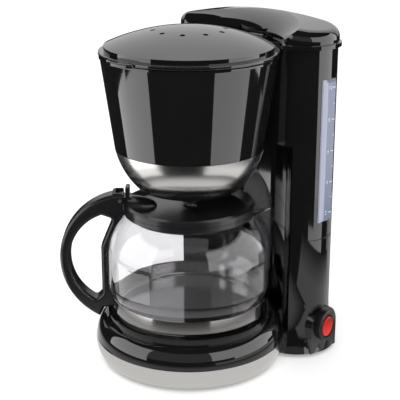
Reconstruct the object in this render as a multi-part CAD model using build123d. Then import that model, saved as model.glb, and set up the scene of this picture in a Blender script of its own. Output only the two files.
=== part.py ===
"""Drip coffee maker: a round heated base, a water tower behind it, a conical brew head and a glass carafe.

Millimetres, +Z up, front towards -Y. The model is drawn about the carafe's own axis, with the table at
height 0, and is shifted at the end so that its origin is the bottom centre of its box.
"""
from build123d import *
import math
import os

# General fits
WALL = 2.5            # moulded plastic wall
FIT = 0.3             # gap between separate pieces
SNUG = 0.15           # gap between pieces that are clipped or pressed together
CUT = 60.0            # how far cutting tools run past what they cut

# Base
BOTTOM_Z = 3.5        # lower edge of the housing and of the steel band
BAND_R = 86.0         # widest radius of the steel band
BAND_FOOT_IN = 5.1    # the band draws in by this much to its lower edge
BAND_MID_IN = 1.3     # and by this much at BAND_MID_Z, which sets its bulge
BAND_MID_Z = 11.0
BAND_TOP_Z = 21.7
BAND_T = 0.8          # sheet thickness of the band
SHOULDER_LIP = 0.3    # the shoulder starts this far above the band
SHOULDER_IN = 10.0    # the shoulder draws in by this much to the plate ring
RING_FOOT_Z = 40.0
RING_SLOPE = 1.4      # the ring narrows by this much to its top
RING_TOP_Z = 46.0
RING_W = 9.6          # ring around the warming plate
PLATE_T = 1.6
PLATE_RISE = 0.4      # the plate stands this far above its ring
GASKET_H = 4.0
GASKET_W = 5.0
SEAT_T = 2.2          # ledge under the gasket
BASE_PLATE_T = 2.5
FOOT_R = 8.0
FOOT_PEG_R = 2.5
FRONT_BOSS_IN = 16.5  # distance of the front screw bosses inside the band
FRONT_BOSS_AT = 43.0  # their angle from the front, degrees
REAR_BOSS_OFF = 25.0  # distance of the rear screw bosses from the lobe centres
BOSS_R = 4.0
REAR_BOSS_TOP_Z = 70.0
FRONT_FOOT_IN = 28.0  # distance of the front feet inside the band
SCREW_R = 1.5
SCREW_HEAD_R = 3.0
SCREW_HEAD_H = 1.6
BASE_SCREW_L = 14.0

# Tower
LOBE_X = 54.5         # the tower's plan is a stadium: two lobes joined by straight sides
TOWER_BITE = 4.7      # the tower's middle stands this far inside the niche radius
TOWER_R = 30.3
FLARE_R = 37.0        # lobe radius at the foot
FLARE_TOP_Z = 50.0
SEAM_Z = 112.0        # joint between the lower housing and the tank housing
SEAM_GROOVE = 0.7
TOWER_TOP_Z = 283.0
NICHE_R = 90.0        # hollow front of the tower, around the carafe
NICHE_FLOOR_Z = 25.0
LEDGE_Z = 199.0       # above this height the tower closes in on the brew head

# Brew head
CONE_BOTTOM_R = 65.2
CONE_BOTTOM_Z = 198.0
CONE_TOP_R = 76.2
CONE_TOP_Z = 277.0
HEAD_BEAD_R = 77.0
HEAD_TOP_Z = 279.0
BOWL_T = 0.8
BOWL_MID_R = 58.4     # a point on the bowl's round side
BOWL_MID_Z = 179.4
BOWL_LOW_R = 46.0
BOWL_LOW_Z = 162.8
BOWL_FLAT_R = 38.0
BOWL_BOTTOM_Z = 160.0
BOWL_HOLE_R = 17.0
BOWL_SPIGOT_H = 8.0
LEDGE_W = 4.0         # inner ledge that carries the filter holder
FILTER_SEAT_Z = 251.0
HEAD_SCREW_AT = 19.0  # angle of the head screws either side of the rear
HEAD_SCREW_Z = 236.0
HEAD_SCREW_L = 7.0

# Basket lid
LID_GAP = 0.4
LID_LIP_R = 77.5
LID_LIP_H = 3.6
LID_T = 2.2
LID_DOME_R = 73.0
LID_EDGE_H = 7.6      # height of the lid where its dome starts
LID_DOME_RISE = 15.5
VENT_RING_R = 31.0
VENT_R = 2.3
VENTS = 10
TAB_HALF_W = 16.0
TAB_REACH = 6.0
TAB_T = 3.0
HEAD_HINGE_Y = 76.0
HEAD_HINGE_UP = 6.6   # hinge axis above the lid's lower edge
HINGE_BARREL_R = 2.2
HINGE_PIN_R = 1.2
HEAD_BARREL_HALF = 11.5
EAR_T = 4.3

# Tank lid
TANK_LID_R = 33.2
TANK_LID_LIP_H = 3.4
TANK_LID_EDGE = 2.0   # width of the step between the lip and the dome
TANK_LID_H = 22.2     # height of the lid at its middle
TANK_LID_CAMBER = 8.5   # drop of the lid's long arc to its ends
TANK_LID_CUT_R = 79.0   # hollow front edge, around the basket lid
TANK_LID_ROUND = 9.0    # rounding of the lid's upper edge
TANK_HORN_ROUND = 11.0  # rounding of the two horns beside the basket lid
TANK_LID_SLOPE = 33.0   # width of the lid's front slope beside the basket lid
TANK_LID_STEP = 1.5     # height of the step between the lip and the front slope
TANK_LID_SIDE_T = 5.5   # wall at the lid's side
TANK_HINGE_BACK = 5.4   # hinge axis behind the tower's rear wall
TANK_HINGE_UP = 3.2   # hinge axis above the lid's lower edge
TANK_BARREL_HALF = 16.0

# Water tank and its parts
TANK_GAP = 1.0
TANK_FRONT_GAP = 6.0  # room for screw bosses behind the brew head
TANK_T = 1.6
TANK_BOTTOM_Z = 116.0
TANK_TOP_Z = 265.0
HOSE_R = 6.0
HOSE_BORE_R = 4.1
NIPPLE_R = 4.0
NIPPLE_BORE_R = 2.8
RISER_BACK = 20.2     # hot water riser behind the tower's middle
OUTLET_X = 42.0
OUTLET_BACK = 7.7     # tank outlet behind the tower's middle
SPIGOT_R = 5.0
SPIGOT_BORE_R = 3.5
SPIGOT_L = 12.0
VALVE_R = 8.5
VALVE_CHAMBER_R = 4.6
VALVE_CHAMBER_H = 8.5
BALL_R = 3.8
GAUGE_Z0 = 128.0
GAUGE_Z1 = 257.0
GAUGE_W = 16.0
GAUGE_PROUD = 2.6
GAUGE_BEVEL = 2.2
ARM_Z = 273.5
ARM_R = 4.6
SHOWER_R = 15.0
SHOWER_H = 4.0

# Heater
HEATER_R = 42.0       # bend radius of the U-shaped heater
HEATER_W = 12.0
HEATER_H = 9.0
HEATER_LEG_Y = 30.0
WATER_TUBE_R = 4.6
NIPPLE_L = 12.0
BRACKET_T = 1.5
BRACKET_W = 16.0
BRACKET_IN = 3.5      # the bracket's screws stand this far inside the plate's edge
THERMOSTAT_R = 8.0
THERMOSTAT_H = 6.0
FUSE_R = 2.0
FUSE_L = 14.0
FUSE_X = 26.0
CLIP_T = 1.0
CLIP_W = 5.0

# Switch and cord inlet
PAD_X = 89.0
PAD_HALF_W = 17.5
SWITCH_Z = 28.0
BEZEL_H = 29.0
BEZEL_W = 22.0
BEZEL_PROUD = 4.5
SWITCH_DEPTH = 22.0
ROCKER_H = 20.0
ROCKER_W = 14.0
ROCKER_GAP = 1.0
ROCKER_BACK = 2.0
ROCKER_PROUD = 0.8
ROCKER_TILT = 6.0
GLAND_X = -40.0
GLAND_Z = 20.0
GLAND_R = 6.5
GLAND_BORE_R = 3.6
GLAND_FLANGE_R = 9.0
GLAND_FLANGE_T = 2.0

# Filter holder and drip valve
FILTER_TOP_R = 63.5
FILTER_FLOOR_R = 34.0
FILTER_FLOOR_Z = 172.0
FILTER_T = 2.0
FLANGE_T = 2.5
FILTER_RIBS = 12
RIB_T = 1.6
RIB_DEPTH = 3.0
NOZZLE_R = 14.0
NOZZLE_END_Z = 153.0
VALVE_HOLE_R = 6.0
STEM_R = 3.5
PLUNGER_HEAD_R = 9.0
PLUNGER_HEAD_T = 2.5
SEAL_T = 1.3
COLLAR_R = 7.0
COLLAR_T = 1.5
SPRING_R = 6.4
SPRING_WIRE = 1.2
SPRING_L = 14.0
BUTTON_R = 8.5
BUTTON_T = 4.0
PLUNGER_END_Z = 148.0

# Carafe, drawn with its handle along +X and then turned
CARAFE_TURN = 226.0   # direction of the handle, degrees from +X
CARAFE_GAP = 0.2
GLASS_T = 2.2
GLASS_FOOT_R = 66.0
GLASS_BAND_R = 69.6
GLASS_BAND_Z0 = 49.4
GLASS_BAND_Z1 = 60.7
GLASS_R = 75.0
GLASS_R_Z0 = 76.0       # the wall is upright from here
GLASS_R_Z1 = 101.0      # up to here
SHOULDER_R = 69.8
SHOULDER_MID_Z = 121.0
NECK_R = 55.6
NECK_Z = 136.6
NECK_TOP_Z = 140.6
SPOUT_R = 75.0
SPOUT_Z = 143.0
SPOUT_ROOT_R = 15.0
SPOUT_TIP_R = 3.6
COLLAR_RING_R = 58.3
COLLAR_RING_Z0 = 137.4
COLLAR_RING_Z1 = 141.0
STEEL_T = 0.6

# Carafe handle outline, as radius and height in the carafe's frame
HANDLE_W = 18.0
HANDLE_TOP = (66.0, 155.5)
HANDLE_OUT = (116.5, 95.0)
HANDLE_LOW = (82.0, 39.0)
HANDLE_HEEL_GAP = 2.9 # the heel stands over the plate ring, this far outside it
HANDLE_ROOT_R = 66.0
HANDLE_NECK = (59.0, 140.0)
GRIP_TOP = (78.5, 136.0)
GRIP_OUT = (107.6, 95.0)
GRIP_LOW = (85.0, 55.5)
STRAP_LOW = (79.4, 61.0)
STRAP_HIGH = (79.4, 106.0)
STRAP_BEND = (68.5, 132.5)
HANDLE_ROUND = 3.5
GRIP_ROUND = 3.0
BLOCK_HALF_W = 11.0
BLOCK_OUT_R = 69.0
BLOCK_IN_R = 57.0
BLOCK_TOP_Z = 157.0
BLOCK_ROUND = 4.5
BLOCK_CLEAR = 1.5       # room for the rim of the tipping lid
SLOT_HALF_W = 7.3
LID_PIN_R = 1.5
LID_HINGE_R = 61.5
LID_HINGE_Z = 150.5
LID_BARREL_R = 4.0
HANDLE_SCREW_Z = 50.4

# Carafe lid
CLID_TOP_Z = 147.3
CLID_RIM_W = 2.6
CLID_FLOOR_Z = 142.5
CLID_FLOOR_T = 2.2
CLID_PLUG_R = 52.2
CLID_PLUG_T = 2.0
CLID_PLUG_Z = 133.0
CLID_HOLE_R = 6.0
ARM_TIP_R = 29.0
ARM_HALF_W = 7.0
ARM_HUMP_HALF_W = 11.0
ARM_TOP_Z = 152.5
LEVER_R = 55.0
LEVER_T = 3.6
LEVER_HALF_W = 6.0
LEVER_TOP_Z = 161.5

# Heights and places that follow from the sizes above
BAND_FOOT_R = BAND_R - BAND_FOOT_IN
BAND_MID_R = BAND_R - BAND_MID_IN
RING_FOOT_R = BAND_R - SHOULDER_IN
RING_R = RING_FOOT_R - RING_SLOPE
PLATE_R = RING_R - RING_W
FRONT_BOSS_R = BAND_R - FRONT_BOSS_IN
FRONT_FOOT_R = BAND_R - FRONT_FOOT_IN
BRACKET_X = PLATE_R - BRACKET_IN
HANDLE_HEEL_R = RING_R + HANDLE_HEEL_GAP
TOWER_Y = NICHE_R - TOWER_BITE
RISER_Y = TOWER_Y + RISER_BACK
OUTLET_Y = TOWER_Y + OUTLET_BACK
PLATE_TOP_Z = RING_TOP_Z + PLATE_RISE
GASKET_TOP_Z = PLATE_TOP_Z - PLATE_T
SEAT_Z = GASKET_TOP_Z - GASKET_H
SEAT_R = PLATE_R + FIT
HEATER_TOP_Z = GASKET_TOP_Z - SNUG
WATER_TUBE_Z = HEATER_TOP_Z - HEATER_H - WATER_TUBE_R + SNUG
BRACKET_TOP_Z = WATER_TUBE_Z - WATER_TUBE_R - SNUG
CARAFE_Z = PLATE_TOP_Z + CARAFE_GAP
TOWER_BACK_Y = TOWER_Y + TOWER_R
TANK_HINGE_Y = TOWER_BACK_Y + TANK_HINGE_BACK
LID_Z = HEAD_TOP_Z + LID_GAP
TANK_LID_Z = TOWER_TOP_Z + FIT
LID_DOME_Z = LID_Z + LID_EDGE_H
LID_TOP_Z = LID_DOME_Z + LID_DOME_RISE
HEAD_HINGE_Z = LID_Z + HEAD_HINGE_UP
TANK_LID_TOP_Z = TANK_LID_Z + TANK_LID_H
TANK_HINGE_Z = TANK_LID_Z + TANK_HINGE_UP
GLAND_WALL_Y = TOWER_Y + FLARE_R
HOSE_START_Y = HEATER_LEG_Y + FIT
HOSE_LOW_Z = 14.5     # height at which the hoses pass under the hollow front
HOSE_DIP = 38.0         # the hoses dip between these two distances in front of the niche wall
HOSE_LEVEL = 20.0
HOSE_DIP_Y = NICHE_R - HOSE_DIP
HOSE_LEVEL_Y = NICHE_R - HOSE_LEVEL
HOSE_DIP_R = 14.0
HOSE_RISE_R = 14.0
RISER_BEND_Z = 58.0
VALVE_TOP_Z = TANK_BOTTOM_Z - FIT
VALVE_CHAMBER_Z = TANK_BOTTOM_Z - SPIGOT_L - VALVE_CHAMBER_H
VALVE_LOW_Z = VALVE_CHAMBER_Z - WALL
ROCKER_PIVOT_X = PAD_X + BEZEL_PROUD / 3
COLLAR_Z = FILTER_FLOOR_Z - FIT - SPRING_L - FIT
HEAD_Z = FILTER_FLOOR_Z + FILTER_T + SNUG + SEAL_T


def cone_r(height):
    """Outer radius of the brew head at a height."""
    share = (height - CONE_BOTTOM_Z) / (CONE_TOP_Z - CONE_BOTTOM_Z)
    return CONE_BOTTOM_R + share * (CONE_TOP_R - CONE_BOTTOM_R)


def spun(*edges):
    """Solid of revolution from edges drawn as radius and height."""
    return revolve(Plane.XZ * make_face(edges), Axis.Z)


def runs(*points):
    """Straight runs through points, without those that repeat the one before."""
    kept = [point for index, point in enumerate(points) if index == 0 or point != points[index - 1]]
    return Polyline(*kept)


def turned(*points):
    """Solid of revolution from a straight-sided outline."""
    return spun(Polyline(*points, close=True))


def rims(shape, radius):
    """Round edges of a given radius."""
    circles = shape.edges().filter_by(GeomType.CIRCLE)
    return [edge for edge in circles if math.isclose(edge.radius, radius)]


def post(radius, low, high, x=0.0, y=0.0):
    """Upright cylinder between two heights."""
    return Pos(x, y, (low + high) / 2) * Cylinder(radius, high - low)


def pipe(outer, inner, low, high, x=0.0, y=0.0):
    """Upright tube between two heights."""
    return post(outer, low, high, x, y) - post(inner, low - CUT, high + CUT, x, y)


def bar(radius, start, end):
    """Round bar from one point to another."""
    plane = Plane(origin=start, z_dir=Vector(*end) - Vector(*start))
    length = (Vector(*end) - Vector(*start)).length
    return extrude(plane * Circle(radius), length)


def block(low, high):
    """Box between two corners."""
    size = [b - a for a, b in zip(low, high)]
    middle = [(a + b) / 2 for a, b in zip(low, high)]
    return Pos(*middle) * Box(*size)


def tower_form(*edges):
    """Stadium-shaped solid whose side follows an outline drawn as distance from the lobe axis and height."""
    face = make_face(edges)
    lobe = revolve(Plane.XZ * face, Axis.Z)
    rear = extrude(Plane.YZ * face, LOBE_X, both=True)
    form = Pos(LOBE_X, 0, 0) * lobe + Pos(-LOBE_X, 0, 0) * lobe + rear + mirror(rear, Plane.XZ)
    return Pos(0, TOWER_Y, 0) * form


def stadium(radius, low, high):
    """Plain upright stadium between two heights."""
    return tower_form(Polyline((0, low), (radius, low), (radius, high), (0, high), close=True))


def flared_foot(inset, low, high):
    """Lower tower with its flared foot, drawn in by an inset."""
    flare = TangentArc((TOWER_R - inset, FLARE_TOP_Z), (FLARE_R - inset, BOTTOM_Z), tangent=(0, -1))
    rest = runs((FLARE_R - inset, BOTTOM_Z), (FLARE_R - inset, low), (0, low), (0, high),
                (TOWER_R - inset, high), (TOWER_R - inset, FLARE_TOP_Z))
    return tower_form(flare, rest)


def band_curve(inset):
    """Bulged side of the steel band."""
    return ThreePointArc((BAND_FOOT_R - inset, BOTTOM_Z), (BAND_MID_R - inset, BAND_MID_Z),
                         (BAND_R - inset, BAND_TOP_Z))


def base_form(inset, low):
    """Round base with its shoulder and plate ring, drawn in by an inset."""
    skirt = BAND_T + SNUG + inset
    edge_r = BAND_R - BAND_T - inset
    edge_z = BAND_TOP_Z + SHOULDER_LIP
    foot_r = RING_FOOT_R - inset
    foot_z = RING_FOOT_Z - inset
    shoulder = EllipticalCenterArc((foot_r, edge_z), edge_r - foot_r, foot_z - edge_z,
                                   start_angle=0, arc_size=90)
    rest = runs((foot_r, foot_z), (RING_R - inset, foot_z), (RING_R - inset, RING_TOP_Z - inset),
                (0, RING_TOP_Z - inset), (0, low), (BAND_FOOT_R - skirt, low),
                (BAND_FOOT_R - skirt, BOTTOM_Z))
    step = Polyline((BAND_R - skirt, BAND_TOP_Z), (BAND_R - skirt, edge_z), (edge_r, edge_z))
    return spun(shoulder, rest, band_curve(skirt), step)


def lower_form(inset, low, high):
    """Base and lower tower as one body, with the hollow front."""
    tower = flared_foot(inset, low, high)
    tower -= post(NICHE_R + inset, NICHE_FLOOR_Z - inset, high + CUT)
    return tower + base_form(inset, low)


def base_boss_places():
    """Centres of the four screw bosses of the base."""
    turn = math.radians(FRONT_BOSS_AT)
    front_x = FRONT_BOSS_R * math.sin(turn)
    front_y = -FRONT_BOSS_R * math.cos(turn)
    reach = REAR_BOSS_OFF * math.sqrt(0.5)
    rear_x = LOBE_X + reach
    rear_y = TOWER_Y + reach
    return [(front_x, front_y), (-front_x, front_y), (rear_x, rear_y), (-rear_x, rear_y)]


def foot_places():
    """Centres of the four feet."""
    reach = FRONT_FOOT_R * math.sqrt(0.5)
    return [(reach, -reach), (-reach, -reach), (LOBE_X, TOWER_Y), (-LOBE_X, TOWER_Y)]


def oval(height, width, depth, x):
    """Upright oval prism facing +X on the switch's axis."""
    return Pos(x, TOWER_Y, SWITCH_Z) * extrude(Plane.YZ * Ellipse(width / 2, height / 2), depth)


def switch_pad(inset):
    """Arched flat pad for the switch, from the foot up."""
    half = PAD_HALF_W - inset
    arch = Pos(TOWER_Y, SWITCH_Z) * Circle(half)
    leg = Pos(TOWER_Y, (SWITCH_Z + BOTTOM_Z) / 2) * Rectangle(2 * half, SWITCH_Z - BOTTOM_Z)
    return Pos(LOBE_X, 0, 0) * extrude(Plane.YZ * (arch + leg), PAD_X - LOBE_X - inset)


def lower_shell():
    """Round base and lower tower with the niche the carafe stands in, before they are parted."""
    plate_z = BOTTOM_Z + BASE_PLATE_T + FIT
    body = lower_form(0, BOTTOM_Z, SEAM_Z) + switch_pad(0)
    body -= lower_form(WALL, BOTTOM_Z - CUT, SEAM_Z + CUT) + switch_pad(WALL)
    seat = pipe(SEAT_R + WALL, SEAT_R, SEAT_Z - SEAT_T, RING_TOP_Z - WALL / 2)
    seat += pipe(SEAT_R + WALL, SEAT_R - GASKET_W, SEAT_Z - SEAT_T, SEAT_Z)
    body = body - post(SEAT_R, SEAT_Z, RING_TOP_Z + CUT) + seat
    places = base_boss_places()
    for x, y in places[:2]:
        body += post(BOSS_R, plate_z, SEAT_Z - SEAT_T / 2, x, y)
    for x, y in places[2:]:
        body += post(BOSS_R, plate_z, REAR_BOSS_TOP_Z, x, y)
    for x, y in places:
        body -= post(SCREW_R + SNUG, plate_z - CUT, plate_z + BASE_SCREW_L, x, y)
    body -= seam_groove(SEAM_Z - SEAM_GROOVE, SEAM_Z)
    body -= oval(BEZEL_H - 2 * WALL + FIT, BEZEL_W - 2 * WALL + FIT, CUT, PAD_X - SWITCH_DEPTH)
    body -= bar(GLAND_R + FIT, (GLAND_X, TOWER_Y, GLAND_Z), (GLAND_X, GLAND_WALL_Y + CUT, GLAND_Z))
    return body


def base_housing():
    """Shell of the round base, with the seat of the warming plate."""
    return lower_shell() & post(BAND_R - FIT, BOTTOM_Z, SEAM_Z)


def lower_housing():
    """Lower shell of the tower: two lobes and the foot of the niche, standing around the base."""
    return lower_shell() - post(BAND_R, BOTTOM_Z - CUT, SEAM_Z + CUT)


def base_plate():
    """Flat bottom closing the lower shell."""
    inset = WALL + FIT
    top = BOTTOM_Z + BASE_PLATE_T
    outline = lower_form(inset, BOTTOM_Z, SEAM_Z) & block((-CUT * 3, -CUT * 3, BOTTOM_Z),
                                                          (CUT * 3, CUT * 3, top))
    for x, y in base_boss_places():
        outline -= post(SCREW_R + FIT, 0, CUT, x, y)
    for x, y in foot_places():
        outline -= post(FOOT_PEG_R + SNUG, 0, CUT, x, y)
    return outline


def base_band():
    """Thin steel band around the front of the base."""
    ring = spun(band_curve(0), band_curve(BAND_T),
                Line((BAND_FOOT_R, BOTTOM_Z), (BAND_FOOT_R - BAND_T, BOTTOM_Z)),
                Line((BAND_R, BAND_TOP_Z), (BAND_R - BAND_T, BAND_TOP_Z)))
    return ring - flared_foot(-SNUG, BOTTOM_Z - CUT, SEAM_Z)


def feet():
    """Four rubber feet, each held by a peg."""
    top = BOTTOM_Z + BASE_PLATE_T
    return [post(FOOT_R, 0, BOTTOM_Z, x, y) + post(FOOT_PEG_R, BOTTOM_Z, top, x, y) for x, y in foot_places()]


def base_screws():
    """Screws that hold the bottom to the shell."""
    plate_z = BOTTOM_Z
    screws = []
    for x, y in base_boss_places():
        head = post(SCREW_HEAD_R, plate_z - SCREW_HEAD_H, plate_z, x, y)
        screws.append(head + post(SCREW_R, plate_z, plate_z + BASE_SCREW_L, x, y))
    return screws


def warming_plate():
    """Enamelled plate under the carafe."""
    return fillet(post(PLATE_R, GASKET_TOP_Z, PLATE_TOP_Z).edges().group_by(Axis.Z)[-1], PLATE_T / 3)


def plate_gasket():
    """Seal between the warming plate and the shell."""
    return pipe(PLATE_R, PLATE_R - GASKET_W + FIT, SEAT_Z, GASKET_TOP_Z)


def u_form(section):
    """Sweep a section along the heater's half ring and its two straight legs."""
    placed = Pos(HEATER_R, 0) * section
    ring = Rot(0, 0, 180) * revolve(Plane.XZ * placed, Axis.Z, 180)
    leg = extrude(Plane.XZ * placed, -HEATER_LEG_Y)
    return ring + leg + mirror(leg, Plane.YZ)


def heating_element():
    """Horseshoe of heater and water tube under the plate."""
    heater = Pos(0, HEATER_TOP_Z - HEATER_H / 2) * Rectangle(HEATER_W, HEATER_H)
    tube = Pos(0, WATER_TUBE_Z) * Circle(WATER_TUBE_R)
    bore = Pos(0, WATER_TUBE_Z) * Circle(NIPPLE_BORE_R)
    body = u_form(heater) + u_form(tube)
    for x in (HEATER_R, -HEATER_R):
        body += bar(NIPPLE_R, (x, HEATER_LEG_Y, WATER_TUBE_Z), (x, HEATER_LEG_Y + NIPPLE_L, WATER_TUBE_Z))
    body -= u_form(bore)
    for x in (HEATER_R, -HEATER_R):
        body -= bar(NIPPLE_BORE_R, (x, 0, WATER_TUBE_Z), (x, HEATER_LEG_Y + CUT, WATER_TUBE_Z))
    return body


def heater_bracket():
    """Cross bar that presses the heater to the plate."""
    low = BRACKET_TOP_Z - BRACKET_T
    half = BRACKET_W / 2
    strap = block((-BRACKET_X, -half, low), (BRACKET_X, half, BRACKET_TOP_Z))
    for side in (1, -1):
        inner, outer = sorted((side * (BRACKET_X - BRACKET_T), side * BRACKET_X))
        strap += block((inner, -half, low), (outer, half, SEAT_Z - SEAT_T))
    return strap


def thermostat():
    """Switch that holds the plate at its heat."""
    top = BRACKET_TOP_Z - BRACKET_T
    can = post(THERMOSTAT_R, top - THERMOSTAT_H, top)
    return can + block((-THERMOSTAT_R / 2, -BRACKET_W / 2, top - THERMOSTAT_H - BRACKET_T),
                       (THERMOSTAT_R / 2, BRACKET_W / 2, top - THERMOSTAT_H))


def thermal_fuse():
    """Fuse that cuts off an overheated plate."""
    z = BRACKET_TOP_Z - BRACKET_T - FUSE_R
    return bar(FUSE_R, (FUSE_X, -FUSE_L / 2, z), (FUSE_X, FUSE_L / 2, z))


def hose(points, radii):
    """Hose with its bore, along straight runs joined by arcs."""
    path = FilletPolyline(*points, radius=radii)
    start = Plane(origin=path @ 0, z_dir=path % 0)
    return sweep(start * (Circle(HOSE_R) - Circle(HOSE_BORE_R)), path=path)


def hose_dip(x):
    """First points of a hose, from the heater down to the passage under the hollow front."""
    return [(x, HOSE_START_Y, WATER_TUBE_Z), (x, HOSE_DIP_Y, WATER_TUBE_Z), (x, HOSE_LEVEL_Y, HOSE_LOW_Z),
            (x, OUTLET_Y, HOSE_LOW_Z)]


def cold_water_hose():
    """Hose from the tank floor to the heater."""
    points = hose_dip(OUTLET_X) + [(OUTLET_X, OUTLET_Y, VALVE_LOW_Z - FIT)]
    return hose(points, [HOSE_DIP_R, HOSE_DIP_R, HOSE_RISE_R])


def hot_water_hose():
    """Hose from the heater up to the spray arm."""
    points = hose_dip(-HEATER_R) + [(0, RISER_Y, RISER_BEND_Z), (0, RISER_Y, TANK_TOP_Z - FIT)]
    return hose(points, [HOSE_DIP_R, HOSE_DIP_R, HOSE_DIP_R, HOSE_RISE_R * 2])


def hose_clips():
    """Spring bands over the hose ends."""
    ring = Circle(HOSE_R + SNUG + CLIP_T) - Circle(HOSE_R + SNUG)
    clips = []
    for x in (HEATER_R, -HEATER_R):
        plane = Plane(origin=(x, HOSE_START_Y + CLIP_W / 2, WATER_TUBE_Z), z_dir=(0, 1, 0))
        clips.append(extrude(plane * ring, CLIP_W))
    top = VALVE_LOW_Z - CLIP_W * 2
    clips.append(Pos(OUTLET_X, OUTLET_Y, top) * extrude(ring, CLIP_W))
    return clips


def check_valve():
    """Cage in the cold hose that holds the ball."""
    body = post(VALVE_R, VALVE_LOW_Z, VALVE_TOP_Z, OUTLET_X, OUTLET_Y)
    body += post(NIPPLE_R, VALVE_LOW_Z - NIPPLE_L, VALVE_LOW_Z, OUTLET_X, OUTLET_Y)
    body -= post(SPIGOT_R + SNUG, VALVE_CHAMBER_Z + VALVE_CHAMBER_H, VALVE_TOP_Z + CUT, OUTLET_X, OUTLET_Y)
    body -= post(VALVE_CHAMBER_R, VALVE_CHAMBER_Z, VALVE_TOP_Z, OUTLET_X, OUTLET_Y)
    return body - post(NIPPLE_BORE_R, VALVE_LOW_Z - CUT, VALVE_TOP_Z, OUTLET_X, OUTLET_Y)


def check_ball():
    """Ball that stops hot water from running back."""
    seat_depth = math.sqrt(BALL_R ** 2 - NIPPLE_BORE_R ** 2)
    return Pos(OUTLET_X, OUTLET_Y, VALVE_CHAMBER_Z + seat_depth + FIT) * Sphere(BALL_R)


def head_cut(gap, high):
    """Space that the brew head and its lid take out of the tower."""
    lip_z = CONE_TOP_Z
    return turned((0, LEDGE_Z), (cone_r(LEDGE_Z) + gap, LEDGE_Z), (cone_r(lip_z) + gap, lip_z),
                  (LID_LIP_R + LID_GAP + gap, lip_z), (LID_LIP_R + LID_GAP + gap, high), (0, high))


def tank_form(side, front, low, high):
    """Upper tower, drawn in by a side inset, and by a front inset where it meets the brew head."""
    form = stadium(TOWER_R - side, low, high)
    form -= post(NICHE_R + side, low - CUT, LEDGE_Z + side)
    return form - head_cut(FIT + front, high + CUT)


def seam_groove(low, high):
    """Shallow groove around the tower."""
    return tank_form(0, 0, low, high) - tank_form(SEAM_GROOVE, SEAM_GROOVE, low - CUT, high + CUT)


def gauge_bar(gap):
    """Bevelled bar of the level gauge, let into the tower's side."""
    front = LOBE_X + TOWER_R + GAUGE_PROUD + gap
    back = LOBE_X + TOWER_R - WALL - TANK_GAP + FIT
    half = GAUGE_W / 2 + gap
    plate = block((back, TOWER_Y - half, GAUGE_Z0 - gap), (front, TOWER_Y + half, GAUGE_Z1 + gap))
    return plate


def hinge_ears(half, y, z, low, foot):
    """Pair of ears beside a hinge barrel, each with a foot that runs down a wall."""
    ears = []
    for side in (1, -1):
        inner, outer = sorted((side * (half + FIT), side * (half + FIT + EAR_T)))
        low_y, high_y = sorted((y, (foot[0] + foot[1]) / 2))
        knuckle = bar(HINGE_BARREL_R, (inner, y, z), (outer, y, z))
        arm = block((inner, low_y, low), (outer, high_y, z))
        ears.append(knuckle + arm + block((inner, foot[0], low - EAR_T), (outer, foot[1], z)))
    return ears


def tank_housing():
    """Upper shell of the tower around the water tank."""
    body = tank_form(0, 0, SEAM_Z, TOWER_TOP_Z)
    body -= tank_form(WALL, WALL, SEAM_Z - CUT, TOWER_TOP_Z + CUT)
    body -= seam_groove(SEAM_Z, SEAM_Z + SEAM_GROOVE)
    body -= gauge_bar(SNUG)
    body -= bar(ARM_R + FIT, (0, 0, ARM_Z), (0, TOWER_Y, ARM_Z))
    wall_y = LID_LIP_R + LID_GAP + FIT + WALL
    notch_half = HEAD_BARREL_HALF + FIT + EAR_T + FIT
    body -= block((-notch_half, 0, LID_Z - LID_GAP), (notch_half, wall_y + FIT, TOWER_TOP_Z + CUT))
    front_foot = (wall_y - WALL, wall_y)
    rear_foot = (TOWER_BACK_Y - WALL, TOWER_BACK_Y)
    for ear in hinge_ears(HEAD_BARREL_HALF, HEAD_HINGE_Y, HEAD_HINGE_Z, LID_Z, front_foot):
        body += ear
    for ear in hinge_ears(TANK_BARREL_HALF, TANK_HINGE_Y, TANK_HINGE_Z, TOWER_TOP_Z - WALL, rear_foot):
        body += ear
    pin = HINGE_PIN_R + SNUG
    body -= bar(pin, (-CUT, HEAD_HINGE_Y, HEAD_HINGE_Z), (CUT, HEAD_HINGE_Y, HEAD_HINGE_Z))
    body -= bar(pin, (-CUT, TANK_HINGE_Y, TANK_HINGE_Z), (CUT, TANK_HINGE_Y, TANK_HINGE_Z))
    for hole in head_screw_bars(SCREW_R + SNUG, SCREW_R + SNUG):
        body -= hole
    return body


def water_tank():
    """Open-topped tank in the tower."""
    side = WALL + TANK_GAP
    body = tank_form(side, TANK_FRONT_GAP, TANK_BOTTOM_Z, TANK_TOP_Z)
    body -= tank_form(side + TANK_T, TANK_FRONT_GAP + TANK_T, TANK_BOTTOM_Z + TANK_T, TANK_TOP_Z + CUT)
    column = post(HOSE_R + FIT + TANK_T, TANK_BOTTOM_Z, TANK_TOP_Z, 0, RISER_Y)
    body += column & tank_form(side, TANK_FRONT_GAP, TANK_BOTTOM_Z, TANK_TOP_Z)
    body -= post(HOSE_R + FIT, TANK_BOTTOM_Z - CUT, TANK_TOP_Z + CUT, 0, RISER_Y)
    body += post(SPIGOT_R, TANK_BOTTOM_Z - SPIGOT_L, TANK_BOTTOM_Z, OUTLET_X, OUTLET_Y)
    return body - post(SPIGOT_BORE_R, TANK_BOTTOM_Z - CUT, TANK_BOTTOM_Z + CUT, OUTLET_X, OUTLET_Y)


def level_gauge():
    """Clear strip at the side that shows the water level."""
    plate = gauge_bar(0)
    front_edges = plate.edges().group_by(Axis.X)[-1]
    return chamfer(front_edges, GAUGE_BEVEL)


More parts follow.
